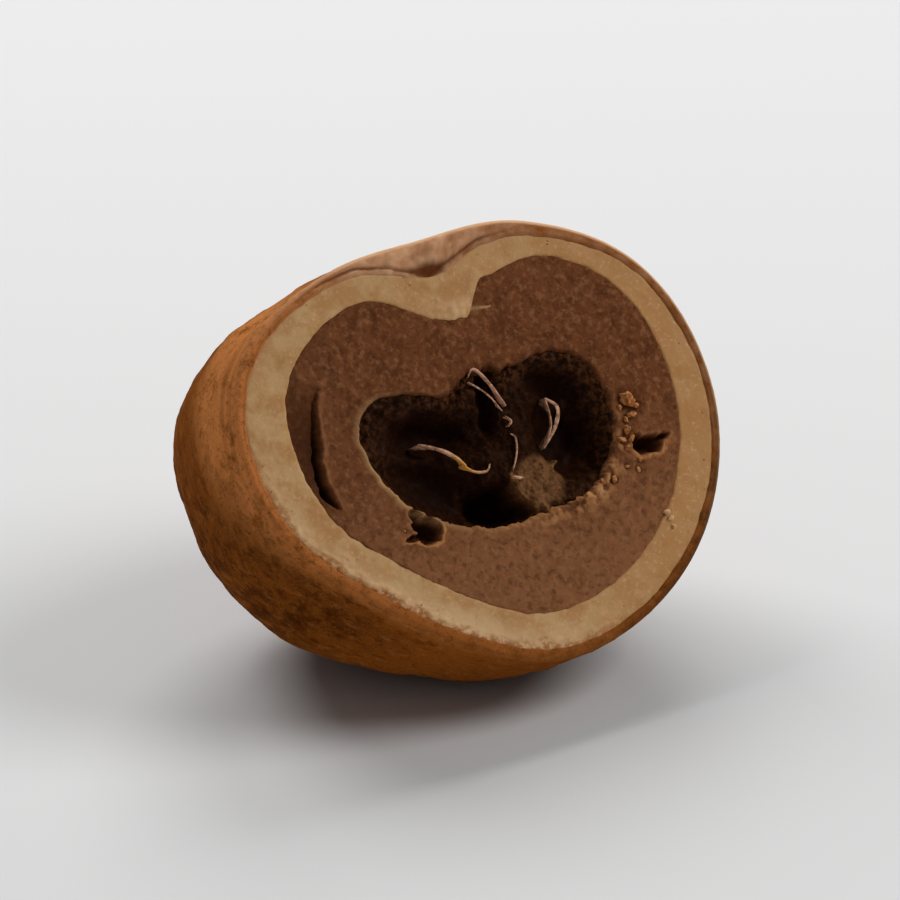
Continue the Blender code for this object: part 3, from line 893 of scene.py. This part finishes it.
def lip_shades(angle, along, to_cream, groove, lumps):
    """Where the coat's cut edge is pale with a painted highlight, dusty with painted light on the
    left, dark with painted shade on the lower right, and grooved with painted shade in the groove.
    """
    ridge, pale = hill(angle, *RIDGE), pale_and_highlit_lip(angle)
    lip_pale_and_highlit = pale * (0.15 + 0.6 * ridge + (0.3 + 0.2 * ridge) * lumps)
    lip_pale_and_highlit = np.maximum(lip_pale_and_highlit, pale * smoothstep(0.17, 0.06, along))
    seam = hills(SEAM, angle) * smoothstep(0.14, 0.07, to_cream)
    # On the cut edge: painted light with the dust on the left, painted shade on the lower right,
    # and painted shade in the groove next to the dark seam.
    return within({"dust_and_light": 0.3 + 0.7 * hill(angle, 160, 45), "darkened": 0.7 * hill(angle, 335, 45),
                   "painted_rim_shade": 0.8 * hill(angle, *SHADED_RIM_SIDE) * smoothstep(0.24, 0.02, along),
                   "dashed": 0.25 * (1 - pale), "lip_pale_and_highlit": lip_pale_and_highlit,
                   "groove": np.maximum(1.3 * groove, seam)})


def coat_inside(angle, share):
    """The coat's inner wall, round the cream layer."""
    return layer_skin("cream_layer", angle, share, 0.1, -OVERLAP)[0], {}


def cream_outside(angle, share):
    """The cream layer's outer wall, hidden in the coat."""
    return layer_skin("cream_layer", angle, share, 0.08)[0], {}


def cream_across(angle, share):
    """The waxy cut of the cream layer."""
    u, v, along, wide = ring_across("cream_layer", "milk_filling", angle, share, 0.045, 0.5, 4)
    to_milk = wide - along
    spots = flat_points(u, v)
    depth = rounded(along, 0.1, 0.025) + rounded(to_milk, 0.08, 0.03)
    depth -= 0.035 * fractal(spots, 1.3, 2)
    drag = np.stack([u * 0.15 + v * 0.05, v - u * 0.3, np.zeros(len(u))], axis=1)
    depth -= 0.008 * fractal(drag, 0.16, 3) + 0.01 * fractal(spots + 6, 0.35, 3)
    crumbly = hill(angle, *CREAM_CRUMBLY) * bell(along, 0.16, 0.14)
    lumps = fractal(spots + 11, 0.22, 3)
    hook = hill(angle, *CREAM_HOOK) * smoothstep(0.9, 0.2, to_milk)
    hook_lumps = fractal(spots + 2, 0.3)
    depth -= 0.06 * crumbly * (0.4 + lumps) + hook * (0.05 + 0.05 * hook_lumps)
    # Painted light near the outer edge, low on the left.
    pale = np.clip(hills(CREAM_PAINTED_LIGHT, angle), 0, 1) * smoothstep(0.9, 0.1, along)
    pale = np.maximum(pale + hook * (0.75 + 0.9 * hook_lumps), crumbly * (0.3 + 1.2 * lumps))
    deep = 0.7 * np.clip(hills(CREAM_DEEP, angle), 0, 1)
    stain = 0.95 * np.clip(hills(CREAM_STAIN, angle), 0, 1)
    stain *= smoothstep(0.32, 0.04, along + 0.2 * fractal(spots + 15, 0.45))
    return place(u, v, depth), {"pale": np.clip(pale, 0, 1), "stain": stain,
                                "deep": np.maximum(deep, 0.5 * hill(angle, 75, 30))}


def cream_inside(angle, share):
    """The cream layer's inner wall, round the milk chocolate."""
    return layer_skin("milk_filling", angle, share, 0.08, -OVERLAP)[0], {}


def milk_outside(angle, share):
    """The milk chocolate's outer wall, hidden in the cream layer."""
    return layer_skin("milk_filling", angle, share, 0.05)[0], {}


def bean_edge(angle):
    """The bean's radius in the cut."""
    return smooth_radius(bpy.context.scene.sweet_sizes.bean_radii, angle)


def milk_holes(u, v, ragged):
    """How deep the holes are, where painted shade lies in them, and where their rims are golden.
    """
    hole, dark_and_painted_shade, golden = np.zeros((3, len(u)))
    for centre_u, centre_v, half_width, half_height, deepest, turn in HOLES.values():
        away = in_ellipse(u, v, centre_u, centre_v, half_width, half_height, turn) + 0.35 * ragged
        inside = np.sqrt(np.clip(1.05 - away, 0, 1)) * smoothstep(1.05, 0.9, away)
        hole = np.maximum(hole, deepest * inside)
        dark_and_painted_shade = np.maximum(dark_and_painted_shade, smoothstep(1.05, 0.7, away))
        below = smoothstep(centre_v + 0.1, centre_v - 0.2, v)
        golden = np.maximum(golden, (0.3 + 0.7 * below) * bell(away, 1.22, 0.17))
    return hole, dark_and_painted_shade, golden * smoothstep(0.06, 0.0, hole)


def crumb_pits(u, v, ragged):
    """How deep the pits under the golden crumbs are, and where painted shade lies round them."""
    pit, dark_and_painted_shade = np.zeros((2, len(u)))
    for centre_u, centre_v, size in GOLDEN_CRUMBS:
        away = np.hypot(u - centre_u, v - centre_v) / (size * CRUMB_PIT) + 0.2 * ragged
        dark_and_painted_shade = np.maximum(dark_and_painted_shade, 0.7 * np.exp(-(away ** 4)))
        pit += 0.06 * np.exp(-(away ** 2))
    return pit, dark_and_painted_shade


def milk_step(u, v, ragged):
    """How deep the step and its crack are, and where painted shade, a painted highlight on the
    step's edge and the crack's near-black painted shade lie on them.
    """
    angle, radius = np.degrees(np.arctan2(v, u)) % 360, np.hypot(u, v)
    start, end = STEP_ANGLES
    along = np.clip((angle - start) / (end - start), 0, 1)
    swell = np.clip(np.sin(math.pi * along), 0, 1) ** 0.5
    beyond = radius - (STEP_RADIUS - 0.3 * along + 0.04 * np.sin(11 * along) + 0.06 * ragged)
    on_step = smoothstep(0, 0.05, beyond)
    half = CRACK_WIDTH * (0.25 + 1.2 * along) * (0.3 + 0.7 * smoothstep(1.0, 0.85, along))
    in_crack = np.exp(-(((beyond - half) / half) ** 4))
    in_crack *= smoothstep(0, 0.12, along) * smoothstep(1.0, 0.93, along)
    floor = STEP_DEPTH * swell * (1 - 0.35 * smoothstep(0, 0.9, beyond))
    depth = floor * on_step + (CRACK_DEPTH * (0.2 + 0.8 * along) - floor) * in_crack
    to_cream = layer_radius("milk_filling", angle, 0) - radius
    # Painted shade on the milk beside the cream, on the step's floor and in the crack.
    dark_and_painted_shade = 0.45 * hill(angle, 160, 32) * smoothstep(0.45, 0.05, to_cream)
    dark_and_painted_shade = np.maximum(dark_and_painted_shade, (0.65 + 0.2 * ragged) * swell * on_step)
    dark_and_painted_shade = np.maximum(dark_and_painted_shade, (0.5 + 0.5 * along) * in_crack)
    # A painted highlight along the step's edge.
    light = 0.5 * swell * bell(beyond, -0.09, 0.07)
    # Near-black painted shade on the step's floor and in the crack.
    crack_shade = np.maximum(0.45 * (0.4 + 0.6 * along) * swell * on_step,
                       0.9 * smoothstep(0.1, 0.7, along) * in_crack)
    return depth, dark_and_painted_shade, light, crack_shade


def cream_smear(u, v):
    """Where the thin smear of cream lies."""
    (from_u, from_v), (to_u, to_v), half = SMEAR
    line = np.array([to_u - from_u, to_v - from_v])
    share = np.clip(((u - from_u) * line[0] + (v - from_v) * line[1]) / (line @ line), 0, 1)
    off = np.hypot(u - from_u - share * line[0], v - from_v - share * line[1])
    return smoothstep(half * 1.6, half * 0.6, off * (1 + share))


def milk_depth(u, v):
    """How deep the cut milk chocolate lies at u and v, where painted shade, painted light and a
    painted highlight lie on it, where hole rims are golden, and where cream is smeared on it.
    """
    relief = mm(bpy.context.scene.sweet_sizes.milk_relief)
    spots = flat_points(u, v)
    ragged = fractal(spots + 6, 0.35)
    pores, chance = cells(spots, 0.5)
    pore = (chance > 0.7) * bell(pores, 0, 0.075)
    hole, hole_shade, golden = milk_holes(u, v, ragged)
    pit, pit_shade = crumb_pits(u, v, ragged)
    step, step_shade, light, crack_shade = milk_step(u, v, ragged)
    smear = cream_smear(u, v)
    depth = 0.06 * pore - relief * fractal(spots, 0.28) - 0.05 * fractal(spots + 9, 2.2, 2)
    depth += hole - 0.05 * golden + pit + step - 0.03 * smear
    # Painted shade in the pores, holes, crumb pits and step.
    dark_and_painted_shade = np.maximum.reduce([0.35 * pore, hole_shade, pit_shade, step_shade])
    # Painted light, stronger lower down and to the left.
    painted_light = 0.5 * smoothstep(1.0, -3.6, v) + 0.1 * smoothstep(-2.5, -5, u)
    return depth, {"dark_and_painted_shade": dark_and_painted_shade, "light": light, "golden": golden, "cream": smear,
                   "painted_light": painted_light, "crack_shade": crack_shade}


def milk_across(angle, share):
    """The cut of the milk chocolate, from the cream layer to the bean, with a painted highlight
    along the bean's lower edge.
    """
    turn = np.radians(angle)
    outer = layer_radius("milk_filling", angle, 0)
    circle = flat_points(np.cos(turn), np.sin(turn)) * 3.5
    edge = bean_edge(angle) - OVERLAP + 0.09 * fractal(circle, 0.4)
    outer_u, outer_v = outer * np.cos(turn), outer * np.sin(turn)
    inner_u, inner_v = BEAN_MIDDLE[0] + edge * np.cos(turn), BEAN_MIDDLE[1] + edge * np.sin(turn)
    u = outer_u + (inner_u - outer_u) * share
    v = outer_v + (inner_v - outer_v) * share
    to_edge = np.hypot(inner_u - u, inner_v - v)
    lumps = fractal(flat_points(u, v) + 21, 0.26, 3)
    # A painted highlight along the bean's lower left edge.
    lower_left = hill(angle, 183, 36) * bell(to_edge, 0.12, 0.1)
    crumbly = hill(angle, 318, 32) * smoothstep(0.75, 0.1, to_edge)
    depth, shades = milk_depth(u, v)
    depth += rounded(to_edge, 0.14, 0.16) + rounded(np.hypot(outer_u - u, outer_v - v), 0.06, 0.05)
    depth -= 0.11 * crumbly * (0.35 + lumps) + 0.03 * lower_left * (0.5 + lumps)
    golden = np.maximum(shades["golden"], crumbly * smoothstep(-0.25, 0.2, lumps))
    # A painted highlight along the bean's lower edge.
    golden = np.maximum(golden, 0.8 * hill(angle, 275, 45) * bell(to_edge, 0, 0.13))
    # Darker beside the bean's upper edge, and painted shade in the low spots between the crumbly
    # lumps.
    upper = hill(angle, 85, 75) * smoothstep(0.22, 0.0, to_edge + 0.16 * lumps)
    dark_and_painted_shade = shades["dark_and_painted_shade"] + 0.8 * crumbly * smoothstep(0.0, -0.4, lumps) + 0.9 * upper
    # The painted highlight on the lower left edge, and painted light on the tops of the crumbly
    # lumps.
    pale = np.maximum(0.8 * lower_left, 0.7 * crumbly * smoothstep(0.15, 0.45, lumps))
    return place(u, v, depth), within({**shades, "dark_and_painted_shade": dark_and_painted_shade, "golden": golden,
                                       "cream": np.maximum(shades["cream"], pale)})


def milk_inside(angle, share):
    """The milk chocolate's inner wall, round the bean."""
    # Painted shade on the wall round the bean.
    return bean_skin(angle, share, 0.16, -OVERLAP), {"dark_and_painted_shade": np.full(len(angle), 0.3)}


def bean_skin(angle, share, edge, grow=0.0):
    """Points of the bean's skin from its edge at a depth to its back pole."""
    reach = BEAN_REACH + grow
    first = math.acos((BEAN_WIDEST_DEPTH - edge) / reach)
    polar = first + (math.pi - first) * share
    depth = BEAN_WIDEST_DEPTH - reach * np.cos(polar)
    radius = (bean_edge(angle) + grow) * np.sin(polar)
    turn = np.radians(angle)
    return place(BEAN_MIDDLE[0] + radius * np.cos(turn), BEAN_MIDDLE[1] + radius * np.sin(turn),
                 depth)


def bean_depth(u, v):
    """How deep the broken bean lies at u and v from its middle, and its shades."""
    relief = mm(bpy.context.scene.sweet_sizes.bean_relief)
    spots = flat_points(u, v)
    size, height = BEAN_GRAIN
    depth = BEAN_RECESS + height * (0.5 + plain_noise(spots, size))
    hollow = np.zeros(len(u))
    for centre_u, centre_v, half_width, half_height, turn, deepest in HOLLOWS.values():
        away = in_ellipse(u, v, centre_u, centre_v, half_width, half_height, turn)
        away = away + 0.1 * fractal(spots + 1, 0.6, 3)
        fall = np.exp(-(np.abs(away) ** 3))
        depth = depth + deepest * fall
        hollow = np.maximum(hollow, fall)
    grain = fractal(spots + 2, 0.24, 3)
    coarse = fractal(spots + 7, 0.5, 3)
    rough = 1 - 0.75 * hollow
    depth = depth - relief * rough * (grain * 0.9 + coarse * 0.5)
    wedge = smoothstep(1.3, 0.75, wedge_reach(u, v) + 0.2 * coarse)
    slab = 0.08 + 0.2 * (v + 2.0 - 0.3 * (u - WEDGE[0])) + 0.08 * coarse
    depth = depth + (slab - depth) * 0.85 * wedge - 0.08 * wedge * grain
    return depth, hollow, wedge


def wedge_reach(u, v):
    """How far points are from the middle of the light granular wedge, where 1 is its edge."""
    centre_u, centre_v, reach, turn = WEDGE
    angle = np.degrees(np.arctan2(v - centre_v, u - centre_u)) - turn
    corner = np.cos(np.radians((angle % 120) - 60)) / 0.5
    return np.hypot(u - centre_u, v - centre_v) / reach * np.minimum(corner, 1.3) * 0.8


def bean_outside(angle, share):
    """The bean's smooth skin, hidden in the milk chocolate."""
    return bean_skin(angle, share, 0.12), {"brown": np.zeros(len(angle))}


def bean_at(angle, radius):
    """Points of the broken face at radii from the bean's middle, and their shades."""
    turn = np.radians(angle)
    u, v = radius * np.cos(turn), radius * np.sin(turn)
    depth, hollow, wedge = bean_depth(u, v)
    rim = bell(bean_edge(angle), radius, 0.6)
    upper = 0.4 + 0.6 * np.clip(hill(angle, 75, 85), 0, 1)
    brown = np.clip((0.22 + 0.9 * rim * upper) * (1 - 0.85 * hollow), 0, 1)
    depth = depth - 0.07 * rim * upper * fractal(flat_points(u, v) + 13, 0.2, 2)
    points = place(BEAN_MIDDLE[0] + u, BEAN_MIDDLE[1] + v, depth)
    return points, {"brown": brown, "wedge": wedge}


def bean_across(angle, share):
    """The bean's outline, just inside its skin."""
    edge = bean_edge(angle)
    return bean_at(angle, edge - share * 0.03 * edge)


def bean_inside(angle, share):
    """The broken face, from the outline to the bean's middle."""
    edge = bean_edge(angle)
    return bean_at(angle, 0.97 * edge * (1 - share))


# Operators


class SWEET_OT_cocoa_coat(bpy.types.Operator):
    """Add the cocoa coat with its powdery relief and its cut edge"""

    bl_idname = "sweet.cocoa_coat"
    bl_label = "Add Cocoa Coat"

    def execute(self, context):
        piece = add_cup("cocoa_coat_skin", *CUPS["cocoa_coat_skin"])
        press(piece, coat_outside, coat_across, coat_inside)
        coat_finish().put_on(piece)
        settle(piece, "cocoa_coat")
        return {"FINISHED"}


class SWEET_OT_cream_layer(bpy.types.Operator):
    """Add the cream-coloured layer with its waxy cut"""

    bl_idname = "sweet.cream_layer"
    bl_label = "Add Cream Layer"

    def execute(self, context):
        piece = add_cup("cream_layer_cut", *CUPS["cream_layer_cut"])
        press(piece, cream_outside, cream_across, cream_inside)
        cream_finish().put_on(piece)
        settle(piece, "cream_layer")
        return {"FINISHED"}


class SWEET_OT_milk_filling(bpy.types.Operator):
    """Add the milk chocolate with its pores, holes and step"""

    bl_idname = "sweet.milk_filling"
    bl_label = "Add Milk Chocolate"

    def execute(self, context):
        piece = add_cup("milk_filling_cut", *CUPS["milk_filling_cut"])
        press(piece, milk_outside, milk_across, milk_inside)
        milk_finish().put_on(piece)
        settle(piece, "milk_filling")
        return {"FINISHED"}


class SWEET_OT_coffee_bean(bpy.types.Operator):
    """Add the broken coffee bean"""

    bl_idname = "sweet.coffee_bean"
    bl_label = "Add Coffee Bean"

    def execute(self, context):
        piece = add_cup("coffee_bean_broken", *CUPS["coffee_bean_broken"])
        press(piece, bean_outside, bean_across, bean_inside)
        bean_finish().put_on(piece)
        settle(piece, "coffee_bean")
        return {"FINISHED"}


def smooth_path(points, steps):
    """Points on the smooth open curve through a few points."""
    ends = np.array([points[0], *points, points[-1]])
    path = [between(*ends[i:i + 4], k / steps) for i in range(len(points) - 1)
            for k in range(steps)]
    return np.array([*path, points[-1]])


def skin_finish():
    """Thin papery skin with darker streaks, and golden painted light where light shines through
    it.
    """
    colours = bpy.context.scene.sweet_colours
    finish = Finish("papery_skin", 0.45, Specular_IOR_Level=0.4)
    streaks = finish.range(finish.noise(0.16, 4, 0.6), 0.38, 0.66)
    base = finish.mix(streaks, colours.skin, colours.bean_wedge)
    base = finish.mix(finish.shade("golden"), base, colours.skin_golden)
    finish.colour(base)
    finish.bump(finish.noise(0.05, 3, 0.6), 0.015, 0.6)
    return finish


def add_strip(name, path, across):
    """A flat strip drawn out from an edge along a path, with some points across."""
    deselect_all()
    bpy.ops.mesh.primitive_plane_add(size=path_width(path) * MM, location=path[0] * MM)
    piece = bpy.context.object
    piece.name = piece.data.name = name
    bpy.ops.object.transform_apply(location=True, rotation=True, scale=True)
    bpy.ops.object.mode_set(mode="EDIT")
    mesh = bmesh.from_edit_mesh(piece.data)
    first = min(vertex.co.x for vertex in mesh.verts)
    for vertex in mesh.verts:
        vertex.select_set(vertex.co.x > first + 1e-7)
    mesh.select_flush_mode()
    bmesh.update_edit_mesh(piece.data)
    bpy.ops.mesh.delete(type="VERT")
    bpy.ops.mesh.select_all(action="SELECT")
    bpy.ops.mesh.subdivide(number_cuts=across - 2)
    for step in np.diff(path, axis=0) * MM:
        bpy.ops.mesh.extrude_edges_move(TRANSFORM_OT_translate={"value": tuple(step)})
    bpy.ops.object.mode_set(mode="OBJECT")
    return piece


def path_width(path):
    """A width for a strip that keeps its points apart: the length of the path's first step."""
    return float(np.linalg.norm(path[1] - path[0]))


def strip_places(piece, path, across):
    """Each point's number along the path, and across it."""
    points = np.array([vertex.co[:] for vertex in piece.data.vertices]) / MM
    half = path_width(path) / 2
    base = path[0] + np.array([[-half, offset, 0] for offset in np.linspace(-half, half, across)])
    starts = base[None] + (path - path[0])[:, None]
    away = np.linalg.norm(points[:, None, None] - starts[None], axis=3).reshape(len(points), -1)
    return np.divmod(away.argmin(axis=1), across)


def add_skin(name, points, roll, side):
    """A papery skin that stands in the bean, with its free edge rolled over."""
    path = smooth_path(points, SKIN_STEPS)
    u, v, height = path.T
    piece = add_strip(name, place(u, v, -height), len(SKIN_ROWS))
    along, across = strip_places(piece, place(u, v, -height), len(SKIN_ROWS))
    ahead = np.gradient(path[:, :2], axis=0)
    ahead /= np.linalg.norm(ahead, axis=1)[:, None]
    share = np.linspace(0, 1, len(path))
    full = np.sin(math.pi * np.clip(share * 0.9 + 0.05, 0, 1)) ** 0.5
    ragged = 1 + 0.35 * plain_noise(flat_points(u, v) + 8, 0.25)
    reach = side * roll * full * ragged
    ends = smoothstep(0.3, 0.0, np.minimum(share, 1 - share))
    free = -height + SKIN_HEIGHT
    foot = free + np.maximum(bean_depth(u, v)[0] + SKIN_FOOT - free, 0) * ends
    middle_u, middle_v = BEAN_MIDDLE
    rows = []
    for out, down in SKIN_ROWS:
        depth = foot if down is None else np.minimum(-height + down, foot)
        rows.append(place(middle_u + u - ahead[:, 1] * reach * out,
                          middle_v + v + ahead[:, 0] * reach * out, depth))
    rows = np.array(rows)[across, along]
    piece.data.vertices.foreach_set("co", (rows * MM).ravel())
    piece.data.update()
    thicken(piece)
    return piece


def thicken(piece):
    """Gives a strip its wall and rounds it."""
    wall = piece.modifiers.new("wall", "SOLIDIFY")
    wall.thickness = bpy.context.scene.sweet_sizes.skin_thickness
    wall.offset = 0
    smooth = piece.modifiers.new("smooth", "SUBSURF")
    smooth.levels = smooth.render_levels = 2
    bpy.context.view_layer.objects.active = piece
    for name in ("wall", "smooth"):
        bpy.ops.object.modifier_apply(modifier=name)


def join(pieces, name):
    """Joins pieces into one."""
    deselect_all()
    for piece in pieces:
        piece.select_set(True)
    bpy.context.view_layer.objects.active = pieces[0]
    bpy.ops.object.join()
    pieces[0].name = pieces[0].data.name = name
    bpy.ops.object.shade_smooth()
    return pieces[0]


class SWEET_OT_papery_skins(bpy.types.Operator):
    """Add the papery skins that stand in the bean's folds"""

    bl_idname = "sweet.papery_skins"
    bl_label = "Add Papery Skins"

    def execute(self, context):
        piece = join([add_skin(name, *shape) for name, shape in SKINS.items()], "papery_skins")
        points = np.array([vertex.co[:] for vertex in piece.data.vertices]) / MM
        u, v, reach = GOLDEN_SKIN
        spot = place(BEAN_MIDDLE[0] + u, BEAN_MIDDLE[1] + v, 0.0)
        golden = np.exp(-((np.linalg.norm(points - spot, axis=1) / reach) ** 2))
        attribute = piece.data.attributes.new("golden", "FLOAT", "POINT")
        attribute.data.foreach_set("value", golden.astype(np.float32))
        skin_finish().put_on(piece)
        settle(piece)
        return {"FINISHED"}


def crumb_finish(name, colour, darkened):
    """Rough crumbs with darker patches."""
    finish = Finish(name, 0.75, Specular_IOR_Level=0.25)
    patches = finish.range(finish.noise(0.12, 3, 0.6), 0.42, 0.62)
    finish.colour(finish.mix(patches, colour, darkened))
    finish.bump(finish.noise(0.04, 3, 0.6), 0.02, 0.6)
    return finish


def add_lump(seed, finer=2):
    """One uneven lump of a unit size at the origin."""
    deselect_all()
    bpy.ops.mesh.primitive_ico_sphere_add(subdivisions=finer, radius=1, location=(0, 0, 0))
    lump = bpy.context.object
    points = np.array([vertex.co[:] for vertex in lump.data.vertices])
    uneven = 1 + 0.5 * plain_noise(points + seed * 3.7, 0.9)[:, None]
    uneven += 0.35 * plain_noise(points + seed * 1.9, 0.4)[:, None]
    lump.data.vertices.foreach_set("co", (points * uneven * (1, 0.75, 0.6)).ravel())
    lump.data.update()
    return lump


def scatter(name, spots, depth_at, sunk, finer=2):
    """Copies of a few lumps at spots of the cut, given as u, v and size, sunk into it a little."""
    lumps = [add_lump(seed, finer) for seed in range(CRUMB_KINDS)]
    draw = np.random.default_rng(len(spots))
    pieces = []
    for i, (u, v, size) in enumerate(spots):
        piece = lumps[i % len(lumps)].copy()
        piece.data = piece.data.copy()
        bpy.context.scene.collection.objects.link(piece)
        turn = Matrix.Rotation(draw.uniform(0, 6.28), 3, Vector(draw.normal(size=3)))
        points = np.array([vertex.co[:] for vertex in piece.data.vertices]) @ np.array(turn).T
        depth = float(depth_at(np.array([u]), np.array([v]))[0])
        middle = place(u, v, depth - size * (0.5 - sunk))
        piece.data.vertices.foreach_set("co", ((middle + points * size / 2) * MM).ravel())
        piece.data.update()
        pieces.append(piece)
    for lump in lumps:
        bpy.data.objects.remove(lump)
    return join(pieces, name)


def milk_surface(u, v):
    """The depth of the cut milk chocolate at u and v."""
    return milk_depth(u, v)[0]


def flat_surface(u, v):
    """The depth of the plain cut."""
    return np.zeros(len(u))


class SWEET_OT_crumbs(bpy.types.Operator):
    """Add the golden crumbs, the flakes of cream and the loose cocoa"""

    bl_idname = "sweet.crumbs"
    bl_label = "Add Crumbs"

    def execute(self, context):
        colours = context.scene.sweet_colours
        golden = scatter("golden_crumbs", GOLDEN_CRUMBS, milk_surface, 0.3, 3)
        crumb_finish("golden_crumb", colours.crumb_and_highlight, colours.coat).put_on(golden)
        flakes = scatter("cream_flakes", CREAM_FLAKES, flat_surface, 0.35)
        crumb_finish("cream_flake", colours.cream_pale, colours.cream).put_on(flakes)
        cocoa = scatter("loose_cocoa", loose_spots(), flat_surface, 0.35, 1)
        crumb_finish("loose_cocoa", colours.coat_dust_and_light, colours.coat).put_on(cocoa)
        for piece in (golden, flakes, cocoa):
            settle(piece)
        return {"FINISHED"}


def loose_spots():
    """Scattered places of loose cocoa near the edge of the cut, and a few on the rest of it."""
    draw = np.random.default_rng(LOOSE_START)
    count = bpy.context.scene.sweet_sizes.crumb_count
    angle = draw.uniform(0, 360, count)
    outer = layer_radius("cream_layer", angle, 0)
    inward = np.abs(draw.normal(0, 0.35, count)) + 0.02
    radius = outer - inward
    size = draw.uniform(0.03, 0.07, count)
    turn = np.radians(angle)
    return list(zip(radius * np.cos(turn), radius * np.sin(turn), size))


class SWEET_OT_studio(bpy.types.Operator):
    """Add the pale floor, the soft light and the camera"""

    bl_idname = "sweet.studio"
    bl_label = "Add Studio"

    def execute(self, context):
        settings = context.scene.studio_settings
        add_floor()
        add_lights(settings)
        add_camera(settings)
        context.scene.view_settings.view_transform = "Standard"
        return {"FINISHED"}


def add_floor():
    """A wide pale floor."""
    deselect_all()
    bpy.ops.mesh.primitive_plane_add(size=FLOOR_WIDTH, location=(0, 0, 0))
    floor = bpy.context.object
    floor.name = floor.data.name = "studio_floor"
    finish = Finish("pale_floor", 0.7, Specular_IOR_Level=0.2)
    finish.colour(bpy.context.scene.sweet_colours.floor)
    finish.put_on(floor)


def add_lights(settings):
    """Weak light from all sides, and three soft round lights above the sweet."""
    world = bpy.data.worlds.new("studio_room")
    world.use_nodes = True
    background = world.node_tree.nodes["Background"]
    background.inputs["Color"].default_value = (1, 1, 1, 1)
    background.inputs["Strength"].default_value = settings.sky
    bpy.context.scene.world = world
    powers = {"back_light": settings.back_light, "right_light": settings.right_light,
              "left_light": settings.left_light}
    middle = Vector(LIGHTS_AIM)
    for name, power in powers.items():
        round_z, rise = (math.radians(value) for value in LIGHTS[name])
        away = Vector((math.sin(round_z) * math.cos(rise), -math.cos(round_z) * math.cos(rise),
                       math.sin(rise)))
        bpy.ops.object.light_add(type="AREA", location=middle + away * settings.light_distance)
        light = bpy.context.object
        light.name = light.data.name = name
        light.data.energy = power
        light.data.shape = "DISK"
        light.data.size = settings.light_size
        light.rotation_euler = (-away).to_track_quat("-Z", "Y").to_euler()


def add_camera(settings):
    """The camera, which looks along the part's +Y from above."""
    sizes = bpy.context.scene.sweet_sizes
    target = Vector(sizes.cut_point) + Vector(VIEW_SHIFT)
    back = Vector((0, -math.cos(settings.camera_rise), math.sin(settings.camera_rise)))
    bpy.ops.object.camera_add(location=target + back * settings.camera_distance)
    camera = bpy.context.object
    camera.name = camera.data.name = "studio_camera"
    camera.rotation_euler = (-back).to_track_quat("-Z", "Y").to_euler()
    camera.data.sensor_width = SENSOR_WIDTH
    camera.data.lens = SENSOR_WIDTH * settings.camera_distance / settings.view_width
    camera.data.clip_start, camera.data.clip_end = 0.01, 10
    bpy.context.scene.camera = camera


class VIEW3D_PT_sweet(bpy.types.Panel):
    """The buttons that add the cut sweet's pieces"""

    bl_idname = "VIEW3D_PT_sweet"
    bl_label = "Cut Sweet"
    bl_space_type = "VIEW_3D"
    bl_region_type = "UI"
    bl_category = "Sweets"

    def draw(self, context):
        for operator in OPERATORS:
            self.layout.operator(operator.bl_idname)
        for group in (context.scene.sweet_sizes, context.scene.sweet_colours,
                      context.scene.studio_settings):
            for name in group.bl_rna.properties.keys():
                if name not in ("rna_type", "name"):
                    self.layout.prop(group, name)


GROUPS = {"sweet_sizes": SweetSizes, "sweet_colours": SweetColours,
          "studio_settings": StudioSettings}
OPERATORS = (SWEET_OT_cocoa_coat, SWEET_OT_cream_layer, SWEET_OT_milk_filling,
             SWEET_OT_coffee_bean, SWEET_OT_papery_skins, SWEET_OT_crumbs, SWEET_OT_studio)


def register():
    for name, group in GROUPS.items():
        bpy.utils.register_class(group)
        setattr(bpy.types.Scene, name, PointerProperty(type=group))
    for operator in OPERATORS:
        bpy.utils.register_class(operator)
    bpy.utils.register_class(VIEW3D_PT_sweet)


def unregister():
    bpy.utils.unregister_class(VIEW3D_PT_sweet)
    for operator in reversed(OPERATORS):
        bpy.utils.unregister_class(operator)
    for name, group in reversed(GROUPS.items()):
        delattr(bpy.types.Scene, name)
        bpy.utils.unregister_class(group)


def main():
    register()
    bpy.ops.sweet.cocoa_coat()
    bpy.ops.sweet.cream_layer()
    bpy.ops.sweet.milk_filling()
    bpy.ops.sweet.coffee_bean()
    bpy.ops.sweet.papery_skins()
    bpy.ops.sweet.crumbs()
    bpy.ops.sweet.studio()


if __name__ == "__main__":
    main()
